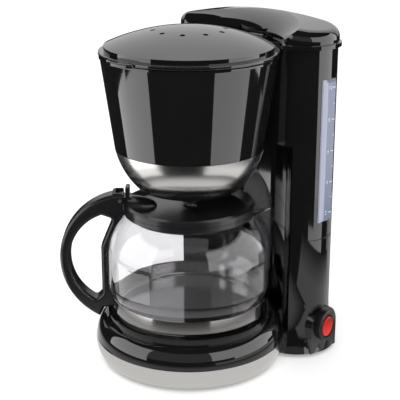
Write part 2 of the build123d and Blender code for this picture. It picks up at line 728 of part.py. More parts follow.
def spray_arm():
    """Arm that carries the hot water over the filter."""
    path = FilletPolyline((0, RISER_Y, TANK_TOP_Z), (0, RISER_Y, ARM_Z), (0, 0, ARM_Z),
                          (0, 0, ARM_Z - ARM_R * 2), radius=ARM_R + FIT)
    start = Plane(origin=path @ 0, z_dir=path % 0)
    body = sweep(start * (Circle(ARM_R) - Circle(NIPPLE_BORE_R)), path=path)
    body += pipe(NIPPLE_R, NIPPLE_BORE_R, TANK_TOP_Z - NIPPLE_L, TANK_TOP_Z, 0, RISER_Y)
    top = ARM_Z - ARM_R * 2
    rose = turned((NIPPLE_BORE_R, top), (ARM_R, top), (SHOWER_R, top - SHOWER_H),
                  (SHOWER_R - WALL / 2, top - SHOWER_H), (NIPPLE_BORE_R, top - WALL / 2))
    return body + rose


def head_screw_bars(shank, head):
    """Screws that hold the brew head to the tower, driven outwards from inside the head."""
    inner = cone_r(HEAD_SCREW_Z) - WALL
    bars = []
    for turn in (HEAD_SCREW_AT, -HEAD_SCREW_AT):
        direction = Vector(math.sin(math.radians(turn)), math.cos(math.radians(turn)), 0)
        seat = direction * (inner + WALL / 3) + Vector(0, 0, HEAD_SCREW_Z)
        bolt = bar(shank, seat, seat + direction * HEAD_SCREW_L)
        bars.append(bolt + bar(head, seat - direction * SCREW_HEAD_H, seat))
    return bars


def brew_head():
    """Cone above the carafe that takes the filter."""
    body = turned((CONE_BOTTOM_R - WALL, CONE_BOTTOM_Z), (CONE_BOTTOM_R, CONE_BOTTOM_Z),
                  (CONE_TOP_R, CONE_TOP_Z), (HEAD_BEAD_R, CONE_TOP_Z + FIT), (HEAD_BEAD_R, HEAD_TOP_Z),
                  (CONE_TOP_R - WALL, HEAD_TOP_Z), (CONE_TOP_R - WALL, CONE_TOP_Z))
    wall_r = cone_r(FILTER_SEAT_Z) - WALL / 2
    low = FILTER_SEAT_Z - WALL
    body += turned((wall_r - LEDGE_W, FILTER_SEAT_Z), (wall_r - LEDGE_W, low), (cone_r(low) - WALL / 2, low),
                   (wall_r, FILTER_SEAT_Z))
    body -= bar(ARM_R + FIT, (0, 0, ARM_Z), (0, TOWER_Y, ARM_Z))
    for hole in head_screw_bars(SCREW_R + SNUG, SCREW_HEAD_R + FIT):
        body -= hole
    return body


def bowl_curve(inset):
    """Rounded side and flat bottom of the steel bowl."""
    side = ThreePointArc((CONE_BOTTOM_R - inset, CONE_BOTTOM_Z - FIT),
                         (BOWL_MID_R - inset, BOWL_MID_Z + inset / 2),
                         (BOWL_LOW_R - inset * 0.7, BOWL_LOW_Z + inset * 0.7))
    turn_in = TangentArc(side @ 1, (BOWL_FLAT_R, BOWL_BOTTOM_Z + inset), tangent=side % 1)
    flat = Line((BOWL_FLAT_R, BOWL_BOTTOM_Z + inset), (BOWL_HOLE_R, BOWL_BOTTOM_Z + inset))
    return [side, turn_in, flat]


def head_bowl():
    """Polished steel bowl under the cone."""
    outer = bowl_curve(0)
    inner = bowl_curve(BOWL_T)
    rim = Line(outer[0] @ 0, inner[0] @ 0)
    lip = Line(outer[2] @ 1, inner[2] @ 1)
    shell = spun(*outer, *inner, rim, lip)
    spigot_r = CONE_BOTTOM_R - WALL - FIT
    top = CONE_BOTTOM_Z - FIT
    return shell + turned((spigot_r - BOWL_T, top - BOWL_T), (CONE_BOTTOM_R - BOWL_T / 2, top - BOWL_T),
                          (CONE_BOTTOM_R - BOWL_T / 2, top), (spigot_r, top), (spigot_r, top + BOWL_SPIGOT_H),
                          (spigot_r - BOWL_T, top + BOWL_SPIGOT_H))


def hinge_pin(half, y, z):
    """Steel pin across the machine."""
    reach = half + FIT + EAR_T
    return bar(HINGE_PIN_R, (-reach, y, z), (reach, y, z))


def head_lid():
    """Domed lid over the filter, with vents and two hinge barrels."""
    lip_z = LID_Z + LID_LIP_H
    dome = SagittaArc((LID_DOME_R, LID_DOME_Z), (-LID_DOME_R, LID_DOME_Z), -(LID_TOP_Z - LID_DOME_Z))
    under = SagittaArc((LID_DOME_R - LID_T, LID_DOME_Z - LID_T), (-LID_DOME_R + LID_T, LID_DOME_Z - LID_T),
                       -(LID_TOP_Z - LID_DOME_Z))
    half_plane = Pos(CUT * 2, LID_Z) * Rectangle(CUT * 4, CUT * 4)
    outer = make_face([dome, Polyline((-LID_DOME_R, LID_DOME_Z), (-LID_DOME_R, lip_z), (-LID_LIP_R, lip_z),
                                      (-LID_LIP_R, LID_Z), (LID_LIP_R, LID_Z), (LID_LIP_R, lip_z),
                                      (LID_DOME_R, lip_z), (LID_DOME_R, LID_DOME_Z))])
    inner_r = LID_DOME_R - LID_T
    inner = make_face([under, Polyline((-inner_r, LID_DOME_Z - LID_T), (-inner_r, LID_Z), (inner_r, LID_Z),
                                       (inner_r, LID_DOME_Z - LID_T))])
    body = revolve(Plane.XZ * ((outer - inner) & half_plane), Axis.Z)
    body = fillet(rims(body, LID_LIP_R), LID_LIP_H / 3)
    tab = Pos(0, -LID_LIP_R, LID_Z) * extrude(Ellipse(TAB_HALF_W, TAB_REACH), TAB_T)
    tab = fillet(tab.edges().group_by(Axis.Z)[-1], TAB_T / 2)
    body += tab - post(LID_LIP_R - LID_T, 0, LID_TOP_Z)
    for index in range(VENTS):
        turn = math.radians(-90 + 360 * index / VENTS)
        vent_x = VENT_RING_R * math.cos(turn)
        vent_y = VENT_RING_R * math.sin(turn)
        body -= post(VENT_R, LID_Z, LID_TOP_Z + CUT, vent_x, vent_y)
    slot = HEAD_BARREL_HALF + FIT + EAR_T + FIT
    for side in (1, -1):
        inner_x, outer_x = sorted((side * HEAD_BARREL_HALF, side * slot))
        front_y = HEAD_HINGE_Y - HINGE_BARREL_R - FIT
        body -= block((inner_x, front_y, LID_Z - CUT), (outer_x, front_y + CUT, LID_TOP_Z))
    barrel = bar(HINGE_BARREL_R, (-HEAD_BARREL_HALF, HEAD_HINGE_Y, HEAD_HINGE_Z),
                 (HEAD_BARREL_HALF, HEAD_HINGE_Y, HEAD_HINGE_Z))
    web = block((-HEAD_BARREL_HALF, LID_DOME_R - LID_T, LID_Z + LID_LIP_H / 2),
                (HEAD_BARREL_HALF, HEAD_HINGE_Y, HEAD_HINGE_Z))
    body += barrel + web
    pin = HINGE_PIN_R + SNUG
    return body - bar(pin, (-CUT, HEAD_HINGE_Y, HEAD_HINGE_Z), (CUT, HEAD_HINGE_Y, HEAD_HINGE_Z))


def tank_lid_camber(drop):
    """Space under the tank lid's long arc."""
    end_x = LOBE_X + TANK_LID_R
    top = TANK_LID_TOP_Z - drop
    end_z = top - TANK_LID_CAMBER
    arch = make_face([SagittaArc((end_x, end_z), (-end_x, end_z), end_z - top),
                      runs((-end_x, end_z), (-end_x, 0), (end_x, 0), (end_x, end_z))])
    return extrude(Plane.XZ * arch, -TANK_HINGE_Y - CUT)


def tank_lid_front(drop):
    """Space under the tank lid's front slope, which runs around the basket lid."""
    top = TANK_LID_TOP_Z - drop
    ridge_r = TANK_LID_CUT_R + TANK_LID_SLOPE
    foot_z = TANK_LID_Z + TANK_LID_LIP_H + TANK_LID_STEP - drop
    far_r = TANK_HINGE_Y + LOBE_X
    slope = TangentArc((ridge_r, top), (TANK_LID_CUT_R, foot_z), tangent=(-1, 0))
    under = runs((TANK_LID_CUT_R, foot_z), (TANK_LID_CUT_R, 0), (far_r, 0), (far_r, top), (ridge_r, top))
    return spun(slope, under)


def tank_lid_block(inset, low, drop):
    """Kidney-shaped raised part of the tank lid, with its two horns rounded."""
    form = stadium(TANK_LID_R - TANK_LID_EDGE - inset, low, TANK_LID_TOP_Z)
    form -= post(TANK_LID_CUT_R + TANK_LID_EDGE + inset, low - CUT, TANK_LID_TOP_Z + CUT)
    horns = [edge for edge in form.edges().filter_by(Axis.Z) if edge.center().Y < TOWER_Y - TANK_LID_EDGE]
    return fillet(horns, TANK_HORN_ROUND) & tank_lid_camber(drop)


def tank_lid():
    """Lid of the water tank: a flat lip with a pillow-shaped top, open below."""
    lip_z = TANK_LID_Z + TANK_LID_LIP_H
    lip = stadium(TANK_LID_R, TANK_LID_Z, lip_z) - post(TANK_LID_CUT_R, TANK_LID_Z - CUT, lip_z + CUT)
    pillow = tank_lid_block(0, lip_z - FIT, 0)
    pillow = fillet(pillow.faces().sort_by(Axis.Z)[-1].edges(), TANK_LID_ROUND)
    hollow = tank_lid_block(TANK_LID_SIDE_T, TANK_LID_Z - CUT, LID_T) & tank_lid_front(LID_T)
    body = lip + (pillow & tank_lid_front(0)) - hollow
    notch_half = HEAD_BARREL_HALF + 2 * FIT + EAR_T + FIT
    notch_y = LID_LIP_R + LID_GAP + WALL + 3 * FIT
    body -= block((-notch_half, 0, TANK_LID_Z - CUT), (notch_half, notch_y, TANK_LID_TOP_Z + CUT))
    slot = TANK_BARREL_HALF + FIT + EAR_T + FIT
    body -= block((-slot, TOWER_BACK_Y - WALL, TANK_LID_Z - CUT),
                  (slot, TOWER_BACK_Y + CUT, TANK_HINGE_Z - HINGE_BARREL_R))
    for side in (1, -1):
        inner_x, outer_x = sorted((side * TANK_BARREL_HALF, side * slot))
        body -= block((inner_x, TOWER_BACK_Y - WALL - FIT, TANK_LID_Z - CUT),
                      (outer_x, TOWER_BACK_Y + CUT, TANK_LID_TOP_Z))
    body += bar(HINGE_BARREL_R, (-TANK_BARREL_HALF, TANK_HINGE_Y, TANK_HINGE_Z),
                (TANK_BARREL_HALF, TANK_HINGE_Y, TANK_HINGE_Z))
    body += block((-TANK_BARREL_HALF, TOWER_BACK_Y - WALL, TANK_HINGE_Z - FIT),
                  (TANK_BARREL_HALF, TANK_HINGE_Y, TANK_HINGE_Z + HINGE_BARREL_R))
    pin = HINGE_PIN_R + SNUG
    return body - bar(pin, (-CUT, TANK_HINGE_Y, TANK_HINGE_Z), (CUT, TANK_HINGE_Y, TANK_HINGE_Z))


def switch_body():
    """Frame and box of the switch."""
    body = oval(BEZEL_H, BEZEL_W, BEZEL_PROUD, PAD_X)
    body = fillet(body.edges().group_by(Axis.X)[-1], WALL / 2)
    body += oval(BEZEL_H - 2 * WALL, BEZEL_W - 2 * WALL, SWITCH_DEPTH, PAD_X - SWITCH_DEPTH)
    well = PAD_X + BEZEL_PROUD - ROCKER_BACK - BEZEL_PROUD - WALL
    return body - oval(ROCKER_H + 2 * ROCKER_GAP, ROCKER_W + 2 * ROCKER_GAP, CUT, well)


def switch_rocker():
    """Rocker with two flats that meet over its pivot."""
    back = ROCKER_PIVOT_X - ROCKER_BACK
    depth = PAD_X + BEZEL_PROUD + ROCKER_PROUD - back
    rocker = oval(ROCKER_H, ROCKER_W, depth, back)
    rocker = fillet(rocker.edges().group_by(Axis.X)[-1], ROCKER_PROUD + FIT)
    pivot = Pos(ROCKER_PIVOT_X, TOWER_Y, SWITCH_Z)
    rocker = pivot * Rot(0, ROCKER_TILT, 0) * pivot.inverse() * rocker
    half = ROCKER_W / 2 + ROCKER_GAP - SNUG
    return rocker + bar(HINGE_PIN_R, (ROCKER_PIVOT_X, TOWER_Y - half, SWITCH_Z),
                        (ROCKER_PIVOT_X, TOWER_Y + half, SWITCH_Z))


def switch_terminals():
    """Two blades at the back of the switch."""
    back = PAD_X - SWITCH_DEPTH
    blades = []
    for z in (SWITCH_Z - BEZEL_H / 4, SWITCH_Z + BEZEL_H / 4):
        blades.append(block((back - NIPPLE_L, TOWER_Y - WALL, z - FIT), (back, TOWER_Y + WALL, z + FIT)))
    return blades


def cord_gland():
    """Collar in the back wall that the mains lead passes through."""
    flange_y = GLAND_WALL_Y - FIT
    body = bar(GLAND_R, (GLAND_X, TOWER_BACK_Y - WALL, GLAND_Z), (GLAND_X, flange_y, GLAND_Z))
    body += bar(GLAND_FLANGE_R, (GLAND_X, flange_y, GLAND_Z), (GLAND_X, flange_y + GLAND_FLANGE_T, GLAND_Z))
    return body - bar(GLAND_BORE_R, (GLAND_X, 0, GLAND_Z), (GLAND_X, flange_y + CUT, GLAND_Z))


def filter_holder():
    """Ribbed cone that holds the paper filter."""
    seat = FILTER_SEAT_Z + SNUG
    flange_r = cone_r(FILTER_SEAT_Z) - WALL - FIT
    top = seat + FLANGE_T
    floor = FILTER_FLOOR_Z
    body = turned((0, floor), (FILTER_FLOOR_R, floor), (FILTER_TOP_R, seat), (flange_r, seat),
                  (flange_r, top), (FILTER_TOP_R - FILTER_T, top), (FILTER_FLOOR_R - FILTER_T, floor + FILTER_T),
                  (0, floor + FILTER_T))
    rib = make_face(Polyline((FILTER_FLOOR_R - FILTER_T / 2, floor + FILTER_T / 2),
                             (FILTER_TOP_R - FILTER_T / 2, top),
                             (FILTER_TOP_R - FILTER_T - RIB_DEPTH, top - FLANGE_T),
                             (FILTER_FLOOR_R - FILTER_T - RIB_DEPTH, floor + FILTER_T / 2), close=True))
    for index in range(FILTER_RIBS):
        body += Rot(0, 0, 360 * index / FILTER_RIBS) * extrude(Plane.XZ * rib, RIB_T / 2, both=True)
    body += pipe(NOZZLE_R, NOZZLE_R - FILTER_T, NOZZLE_END_Z, floor)
    return body - post(VALVE_HOLE_R, floor - FLANGE_T, floor + CUT)


def valve_plunger():
    """Stem of the drip valve with its foot."""
    body = post(STEM_R, PLUNGER_END_Z, HEAD_Z + PLUNGER_HEAD_T)
    body += post(BUTTON_R, PLUNGER_END_Z, PLUNGER_END_Z + BUTTON_T)
    body += post(COLLAR_R, COLLAR_Z - COLLAR_T, COLLAR_Z)
    return body + post(PLUNGER_HEAD_R, HEAD_Z, HEAD_Z + PLUNGER_HEAD_T)


def valve_seal():
    """Soft washer of the drip valve."""
    return pipe(PLUNGER_HEAD_R, STEM_R + SNUG, HEAD_Z - SEAL_T, HEAD_Z)


def valve_spring():
    """Sleeve as large as the spring that shuts the drip valve."""
    return pipe(SPRING_R, SPRING_R - SPRING_WIRE, COLLAR_Z + FIT, COLLAR_Z + FIT + SPRING_L)


def glass_curve(inset, top):
    """Side of the carafe from its foot to its rim."""
    foot = Polyline((0, CARAFE_Z + inset), (GLASS_FOOT_R - inset, CARAFE_Z + inset),
                    (GLASS_BAND_R - inset, GLASS_BAND_Z0), (GLASS_BAND_R - inset, GLASS_BAND_Z1))
    wide = GLASS_R - inset
    side = TangentArc((wide, GLASS_R_Z0), (GLASS_BAND_R - inset, GLASS_BAND_Z1), tangent=(0, -1))
    wall = Polyline((wide, GLASS_R_Z0), (wide, GLASS_R_Z1))
    shoulder = ThreePointArc((wide, GLASS_R_Z1), (SHOULDER_R - inset, SHOULDER_MID_Z), (NECK_R - inset, NECK_Z))
    neck = Polyline((NECK_R - inset, NECK_Z), (NECK_R - inset, top), (0, top), (0, CARAFE_Z + inset))
    return [foot, side, wall, shoulder, neck]


def spout_cone(inset):
    """Tapered spout, opposite the handle."""
    root = Vector(-NECK_R + SPOUT_ROOT_R, 0, NECK_TOP_Z)
    tip = Vector(-SPOUT_R + SPOUT_TIP_R, 0, SPOUT_Z)
    big = Plane(origin=root, z_dir=tip - root) * Circle(SPOUT_ROOT_R - inset)
    small = Plane(origin=tip, z_dir=tip - root) * Circle(SPOUT_TIP_R - inset)
    return loft([big, small])


def carafe_glass():
    """Blown glass jug."""
    body = spun(*glass_curve(0, NECK_TOP_Z)) + spout_cone(0)
    body -= spun(*glass_curve(GLASS_T, NECK_TOP_Z + CUT)) + spout_cone(GLASS_T)
    return body - block((-CUT * 3, -CUT * 3, NECK_TOP_Z), (CUT * 3, CUT * 3, NECK_TOP_Z + CUT))


def carafe_band():
    """Steel band around the neck of the jug."""
    inner = GLASS_BAND_R + SNUG
    return pipe(inner + STEEL_T, inner, GLASS_BAND_Z0, GLASS_BAND_Z1)


def handle_outline():
    """Side view of the handle, with the round-cornered gap for the fingers."""
    heel_z = PLATE_TOP_Z + WALL / 2
    outer = make_face([TangentArc(HANDLE_OUT, HANDLE_TOP, tangent=(0, 1)),
                       TangentArc(HANDLE_OUT, HANDLE_LOW, tangent=(0, -1)),
                       Polyline(HANDLE_LOW, (HANDLE_HEEL_R, heel_z), (HANDLE_ROOT_R, heel_z), HANDLE_NECK,
                                HANDLE_TOP)])
    grip = make_face([TangentArc(GRIP_OUT, GRIP_TOP, tangent=(0, 1)),
                      TangentArc(GRIP_OUT, GRIP_LOW, tangent=(0, -1)),
                      Polyline(GRIP_LOW, STRAP_LOW, STRAP_HIGH, STRAP_BEND, GRIP_TOP)])
    corners = [corner for corner in grip.vertices() if corner.X < GRIP_OUT[0] - GRIP_ROUND]
    return outer - fillet(corners, GRIP_ROUND)


def carafe_handle():
    """Handle with its collar and the hinge block of the lid."""
    half = HANDLE_W / 2
    body = extrude(Plane.XZ * handle_outline(), half, both=True)
    sides = body.faces().filter_by(Axis.Y)
    body = fillet([edge for side in sides for edge in side.edges()], HANDLE_ROUND)
    lump = block((BLOCK_IN_R, -BLOCK_HALF_W, COLLAR_RING_Z0), (BLOCK_OUT_R, BLOCK_HALF_W, BLOCK_TOP_Z))
    body += fillet(lump.edges().group_by(Axis.Z)[-1], BLOCK_ROUND)
    body -= spun(*glass_curve(-FIT, LID_TOP_Z))
    body -= pipe(COLLAR_RING_R + BLOCK_CLEAR, GLASS_FOOT_R - CUT, COLLAR_RING_Z1, BLOCK_TOP_Z + CUT)
    ring = pipe(COLLAR_RING_R, NECK_R + FIT, COLLAR_RING_Z0, COLLAR_RING_Z1)
    body += ring - block((-SPOUT_R, -SPOUT_ROOT_R - FIT, 0), (0, SPOUT_ROOT_R + FIT, LID_TOP_Z))
    body -= pipe(GLASS_BAND_R + SNUG + STEEL_T + FIT, GLASS_FOOT_R - CUT, 0, GLASS_BAND_Z1 + FIT)
    body -= block((0, -SLOT_HALF_W, LID_HINGE_Z - LID_BARREL_R - FIT),
                  (LID_HINGE_R + LID_BARREL_R + FIT, SLOT_HALF_W, BLOCK_TOP_Z + CUT))
    body -= bar(LID_PIN_R + SNUG, (LID_HINGE_R, -CUT, LID_HINGE_Z), (LID_HINGE_R, CUT, LID_HINGE_Z))
    return body - bar(SCREW_R + SNUG, (GLASS_FOOT_R, 0, HANDLE_SCREW_Z), (GLASS_R + CUT, 0, HANDLE_SCREW_Z))


def handle_screw():
    """Screw that draws the band together inside the handle."""
    inner = GLASS_BAND_R + SNUG + STEEL_T + SNUG
    return bar(SCREW_R, (inner + FIT, 0, HANDLE_SCREW_Z), (inner + HANDLE_W, 0, HANDLE_SCREW_Z))


def carafe_lid_pin():
    """Pin of the carafe lid."""
    return bar(LID_PIN_R, (LID_HINGE_R, -BLOCK_HALF_W, LID_HINGE_Z), (LID_HINGE_R, BLOCK_HALF_W, LID_HINGE_Z))


def carafe_lid():
    """Lid of the jug with its pouring lip, hump and thumb lever."""
    low = COLLAR_RING_Z1 + FIT
    floor_low = CLID_FLOOR_Z - CLID_FLOOR_T
    rim_in = COLLAR_RING_R - CLID_RIM_W
    floor_r = CLID_PLUG_R - CLID_PLUG_T - SNUG * 6
    body = turned((CLID_HOLE_R, CLID_FLOOR_Z), (floor_r, CLID_FLOOR_Z), (rim_in, CLID_TOP_Z),
                  (COLLAR_RING_R, CLID_TOP_Z - CLID_RIM_W / 2), (COLLAR_RING_R, low), (CLID_PLUG_R, low),
                  (CLID_PLUG_R, CLID_PLUG_Z), (CLID_PLUG_R - CLID_PLUG_T, CLID_PLUG_Z),
                  (CLID_PLUG_R - CLID_PLUG_T, floor_low), (CLID_HOLE_R, floor_low))
    pour_end = CLID_PLUG_T * 2 - CLID_PLUG_R
    body -= block((-SPOUT_R, -SPOUT_TIP_R, CLID_PLUG_Z - CUT), (pour_end, SPOUT_TIP_R, low))
    hump = scale(Sphere(1), by=(LEVER_R - ARM_TIP_R, ARM_HUMP_HALF_W, ARM_TOP_Z - CLID_FLOOR_Z))
    hump = Pos(LEVER_R, 0, CLID_FLOOR_Z) * hump
    hump &= block((0, -ARM_HUMP_HALF_W, CLID_FLOOR_Z - FIT), (LEVER_R, ARM_HUMP_HALF_W, ARM_TOP_Z))
    tail = block((LEVER_R - LEVER_T, -ARM_HALF_W, CLID_FLOOR_Z), (LID_HINGE_R, ARM_HALF_W, ARM_TOP_Z))
    arm = hump + tail
    arm -= pipe(LID_HINGE_R * 2, COLLAR_RING_R, low - FIT, LID_HINGE_Z - LID_BARREL_R)
    lever = block((LEVER_R - LEVER_T / 2, -LEVER_HALF_W, ARM_TOP_Z - LEVER_T),
                  (LEVER_R + LEVER_T / 2, LEVER_HALF_W, LEVER_TOP_Z))
    lever = fillet(lever.edges().group_by(Axis.Z)[-1], LEVER_T / 2 - SNUG)
    barrel = bar(LID_BARREL_R, (LID_HINGE_R, -ARM_HALF_W, LID_HINGE_Z),
                 (LID_HINGE_R, ARM_HALF_W, LID_HINGE_Z))
    body += arm + lever + barrel
    return body - bar(LID_PIN_R + SNUG, (LID_HINGE_R, -CUT, LID_HINGE_Z), (LID_HINGE_R, CUT, LID_HINGE_Z))


def all_nodes():
    """Every piece by name, in the carafe-axis frame."""
    carafe_turn = Rot(0, 0, CARAFE_TURN)
    fixed = [base_housing, lower_housing, base_plate, base_band, feet, base_screws, warming_plate,
             plate_gasket, heating_element, heater_bracket, thermostat, thermal_fuse, cold_water_hose,
             hot_water_hose, hose_clips, check_valve, check_ball, tank_housing, water_tank, level_gauge, spray_arm, brew_head,
             head_bowl, head_lid, tank_lid, switch_body, switch_rocker, switch_terminals, cord_gland,
             filter_holder, valve_plunger, valve_seal, valve_spring]
    turned_with_carafe = [carafe_glass, carafe_band, carafe_handle, handle_screw, carafe_lid_pin, carafe_lid]
    nodes = {}
    for make in fixed:
        made = make()
        nodes[make.__name__] = Compound(made) if isinstance(made, list) else made
    nodes["head_screws"] = Compound(head_screw_bars(SCREW_R, SCREW_HEAD_R))
    nodes["head_lid_pin"] = hinge_pin(HEAD_BARREL_HALF, HEAD_HINGE_Y, HEAD_HINGE_Z)
    nodes["tank_lid_pin"] = hinge_pin(TANK_BARREL_HALF, TANK_HINGE_Y, TANK_HINGE_Z)
    for make in turned_with_carafe:
        nodes[make.__name__] = carafe_turn * make()
    return nodes


def origin_of(nodes):
    """Bottom centre of the box around all pieces."""
    boxes = [shape.bounding_box(optimal=True) for shape in nodes.values()]
    low = [min(tuple(box.min)[axis] for box in boxes) for axis in range(3)]
    high = [max(tuple(box.max)[axis] for box in boxes) for axis in range(3)]
    return Vector((low[0] + high[0]) / 2, (low[1] + high[1]) / 2, low[2])


NODES = all_nodes()
ORIGIN = origin_of(NODES)
os.makedirs("parts", exist_ok=True)
for name, shape in NODES.items():
    export_step(Pos(-ORIGIN.X, -ORIGIN.Y, -ORIGIN.Z) * shape, f"parts/{name}.step")
print("origin in the carafe frame", [round(value, 4) for value in tuple(ORIGIN)])
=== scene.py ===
"""Looks of the drip coffee maker: finishes, printed marks, springs and screws, and the studio around it."""
import math

import bpy
from mathutils import Matrix, Vector


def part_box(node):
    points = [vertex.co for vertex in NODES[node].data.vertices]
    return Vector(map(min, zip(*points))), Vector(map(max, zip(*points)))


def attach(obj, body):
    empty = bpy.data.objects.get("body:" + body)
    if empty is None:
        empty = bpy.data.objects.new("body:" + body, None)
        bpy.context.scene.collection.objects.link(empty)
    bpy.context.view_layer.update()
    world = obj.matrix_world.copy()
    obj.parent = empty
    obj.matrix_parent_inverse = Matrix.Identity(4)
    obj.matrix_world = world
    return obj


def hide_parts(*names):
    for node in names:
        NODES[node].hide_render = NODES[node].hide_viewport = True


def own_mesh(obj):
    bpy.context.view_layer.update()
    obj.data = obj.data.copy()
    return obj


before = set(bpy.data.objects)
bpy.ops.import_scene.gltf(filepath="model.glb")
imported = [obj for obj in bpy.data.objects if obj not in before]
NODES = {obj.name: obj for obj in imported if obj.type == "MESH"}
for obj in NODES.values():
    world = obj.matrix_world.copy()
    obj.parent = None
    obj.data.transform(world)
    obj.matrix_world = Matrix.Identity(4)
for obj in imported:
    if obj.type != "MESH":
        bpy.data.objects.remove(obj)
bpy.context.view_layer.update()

bl_info = {
    "name": "Drip Coffee Maker Looks",
    "version": (1, 0, 0),
    "blender": (4, 5, 0),
    "location": "3D View > Sidebar > Coffee Maker",
    "description": "Finishes, small details and studio of a drip coffee maker",
    "category": "Object",
}

FINISHES = {}
CARAFE_AXIS = Vector((-0.0018578, -0.017697, 0.0))
GAUGE_FRONT_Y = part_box("level_gauge")[0].y
CAMERA_SIDE = math.atan2(-0.7018, 0.7123)
GAUGE_HIGHLIGHT_SPAN = (0.002, 0.0045)      # where the painted highlight on the gauge's front bevel starts and ends, behind its front
ROCKER_SHADE_LEVELS = (0.019, 0.036)     # heights between which the rocker's red grows darker: painted highlight low on the rocker, painted shade towards its top
MARK_THICK = 0.0009
HALF_MARK_THICK = 0.0006
RECESS_BLADES = ((0.0036, 0.0008, 0.0018), (0.0008, 0.0036, 0.0018))
FLOOR_LEVEL = -0.0003
TABLE_LEVEL = -0.0002
CARD_DISTANCE = 1.6
CARD_STEPS = 24
TABLE_STEPS = 48
BACK_CARD = {"azimuths": (128, 232), "distance": 2.0, "levels": (0.30, 6.0)}
BACK_SHARES = (0.7, 3.0)
TABLE_SIDE_AZIMUTHS = (25.0, 112.0)
TABLE_SIDE_GAIN = 1.2
ROOM_COLOUR = (0.9, 0.92, 1.0, 1.0)
ROOM_STRENGTH = 0.02
PAPER_COLOUR = (0.93, 0.93, 0.93, 1.0)

SLOTS = {
    "gloss_black": ("base_housing", "lower_housing", "tank_housing", "brew_head", "head_lid", "tank_lid"),
    "soft_black": ("base_plate", "switch_body", "filter_holder", "carafe_handle", "carafe_lid", "valve_plunger",
                   "spray_arm", "check_valve"),
    "satin_steel": ("base_band", "head_bowl"),
    "bright_steel": ("carafe_band",),
    "zinc_steel": ("base_screws", "head_screws", "head_lid_pin", "tank_lid_pin", "handle_screw",
                   "carafe_lid_pin", "heater_bracket", "hose_clips", "valve_spring", "check_ball", "thermostat"),
    "carafe_clear": ("carafe_glass",),
    "milky_window": ("level_gauge",),
    "tank_white": ("water_tank",),
    "plate_enamel": ("warming_plate",),
    "cast_aluminium": ("heating_element",),
    "silicone_clear": ("plate_gasket", "cold_water_hose", "hot_water_hose", "valve_seal"),
    "rubber_black": ("feet", "cord_gland"),
    "rocker_red": ("switch_rocker",),
    "terminal_brass": ("switch_terminals", "thermal_fuse"),
}

# softboxes seen only in reflections: name, degrees from the camera's side, heights in metres, and shares of
# the glow at the lower and the upper edge
CARDS = (
    ("right_floor", (33, 85), (-3.2, -1.05), (0.30, 0.42)),
    ("right_low", (33, 52), (-1.05, -0.42), (0.75, 0.75)),
    ("right_low_side", (52, 85), (-1.05, -0.34), (0.75, 0.75)),
    ("right_middle", (52, 85), (-0.34, 0.05), (0.9, 0.9)),
    ("right_middle_side", (85, 104), (-0.34, 0.05), (0.9, 0.9)),
    ("right_high", (25, 120), (0.05, 1.4), (0.9, 0.9)),
    ("right_edge", (112, 150), (-1.6, -0.34), (0.22, 0.22)),
    ("front_high", (-50, 25), (0.05, 1.4), (0.12, 0.12)),
    ("left_floor", (-111, -55), (-3.2, -1.05), (0.30, 0.42)),
    ("left_low", (-90, -55), (-1.05, -0.375), (0.95, 0.95)),
    ("left_low_end", (-111, -90), (-1.05, -0.34), (0.95, 0.95)),
    ("left_high", (-106, -50), (-0.19, 1.4), (0.95, 0.95)),
)


class CoffeeMakerFinishes(bpy.types.PropertyGroup):
    """Colours of the machine and the carafe."""

    black: bpy.props.FloatVectorProperty(
        name="Black plastic", description="Colour of the moulded housing", subtype="COLOR", size=4,
        min=0.0, max=1.0, default=(0.006, 0.006, 0.0065, 1.0))
    soft_black: bpy.props.FloatVectorProperty(
        name="Handle plastic", description="Colour of the carafe handle and lid", subtype="COLOR", size=4,
        min=0.0, max=1.0, default=(0.011, 0.011, 0.012, 1.0))
    steel: bpy.props.FloatVectorProperty(
        name="Steel", description="Colour of the steel sheet", subtype="COLOR", size=4,
        min=0.0, max=1.0, default=(0.66, 0.65, 0.63, 1.0))
    window: bpy.props.FloatVectorProperty(
        name="Gauge window", description="Colour of the milky level gauge", subtype="COLOR", size=4,
        min=0.0, max=1.0, default=(0.17, 0.20, 0.29, 1.0))
    # painted highlight: a lighter colour on the gauge's front bevel stands in for the light that the bevel catches
    window_edge: bpy.props.FloatVectorProperty(
        name="Gauge bevel highlight", description="Lighter colour of the gauge's front bevel", subtype="COLOR", size=4,
        min=0.0, max=1.0, default=(0.46, 0.48, 0.60, 1.0))
    rocker: bpy.props.FloatVectorProperty(
        name="Switch rocker", description="Colour of the switch rocker", subtype="COLOR", size=4,
        min=0.0, max=1.0, default=(0.62, 0.02, 0.012, 1.0))
    glass: bpy.props.FloatVectorProperty(
        name="Carafe glass", description="Tint of the clear glass", subtype="COLOR", size=4,
        min=0.0, max=1.0, default=(0.895, 0.89, 0.905, 1.0))


class CoffeeMakerSizes(bpy.types.PropertyGroup):
    """Sizes of the small pieces."""

    mark_count: bpy.props.IntProperty(
        name="Level marks", description="Long marks on the gauge", default=5, min=2)
    mark_low: bpy.props.FloatProperty(
        name="Lowest mark", description="Height of the lowest mark", unit="LENGTH", default=0.1366)
    mark_high: bpy.props.FloatProperty(
        name="Highest mark", description="Height of the highest mark", unit="LENGTH", default=0.2500)
    mark_length: bpy.props.FloatProperty(
        name="Mark length", description="Length of a long mark", unit="LENGTH", default=0.0036)
    print_proud: bpy.props.FloatProperty(
        name="Print height", description="How far the print stands proud", unit="LENGTH", default=0.00015)
    number_size: bpy.props.FloatProperty(
        name="Number size", description="Height of the cup numbers", unit="LENGTH", default=0.0052)
    spring_turns: bpy.props.FloatProperty(
        name="Spring turns", description="Turns of the valve spring", default=6.5, min=1.0)
    spring_wire: bpy.props.FloatProperty(
        name="Spring wire", description="Thickness of the spring's wire", unit="LENGTH", default=0.0011)
    screw_head: bpy.props.FloatProperty(
        name="Screw head", description="Diameter of the screw heads", unit="LENGTH", default=0.006)
    screw_head_height: bpy.props.FloatProperty(
        name="Head height", description="Height of the screw heads", unit="LENGTH", default=0.0016)


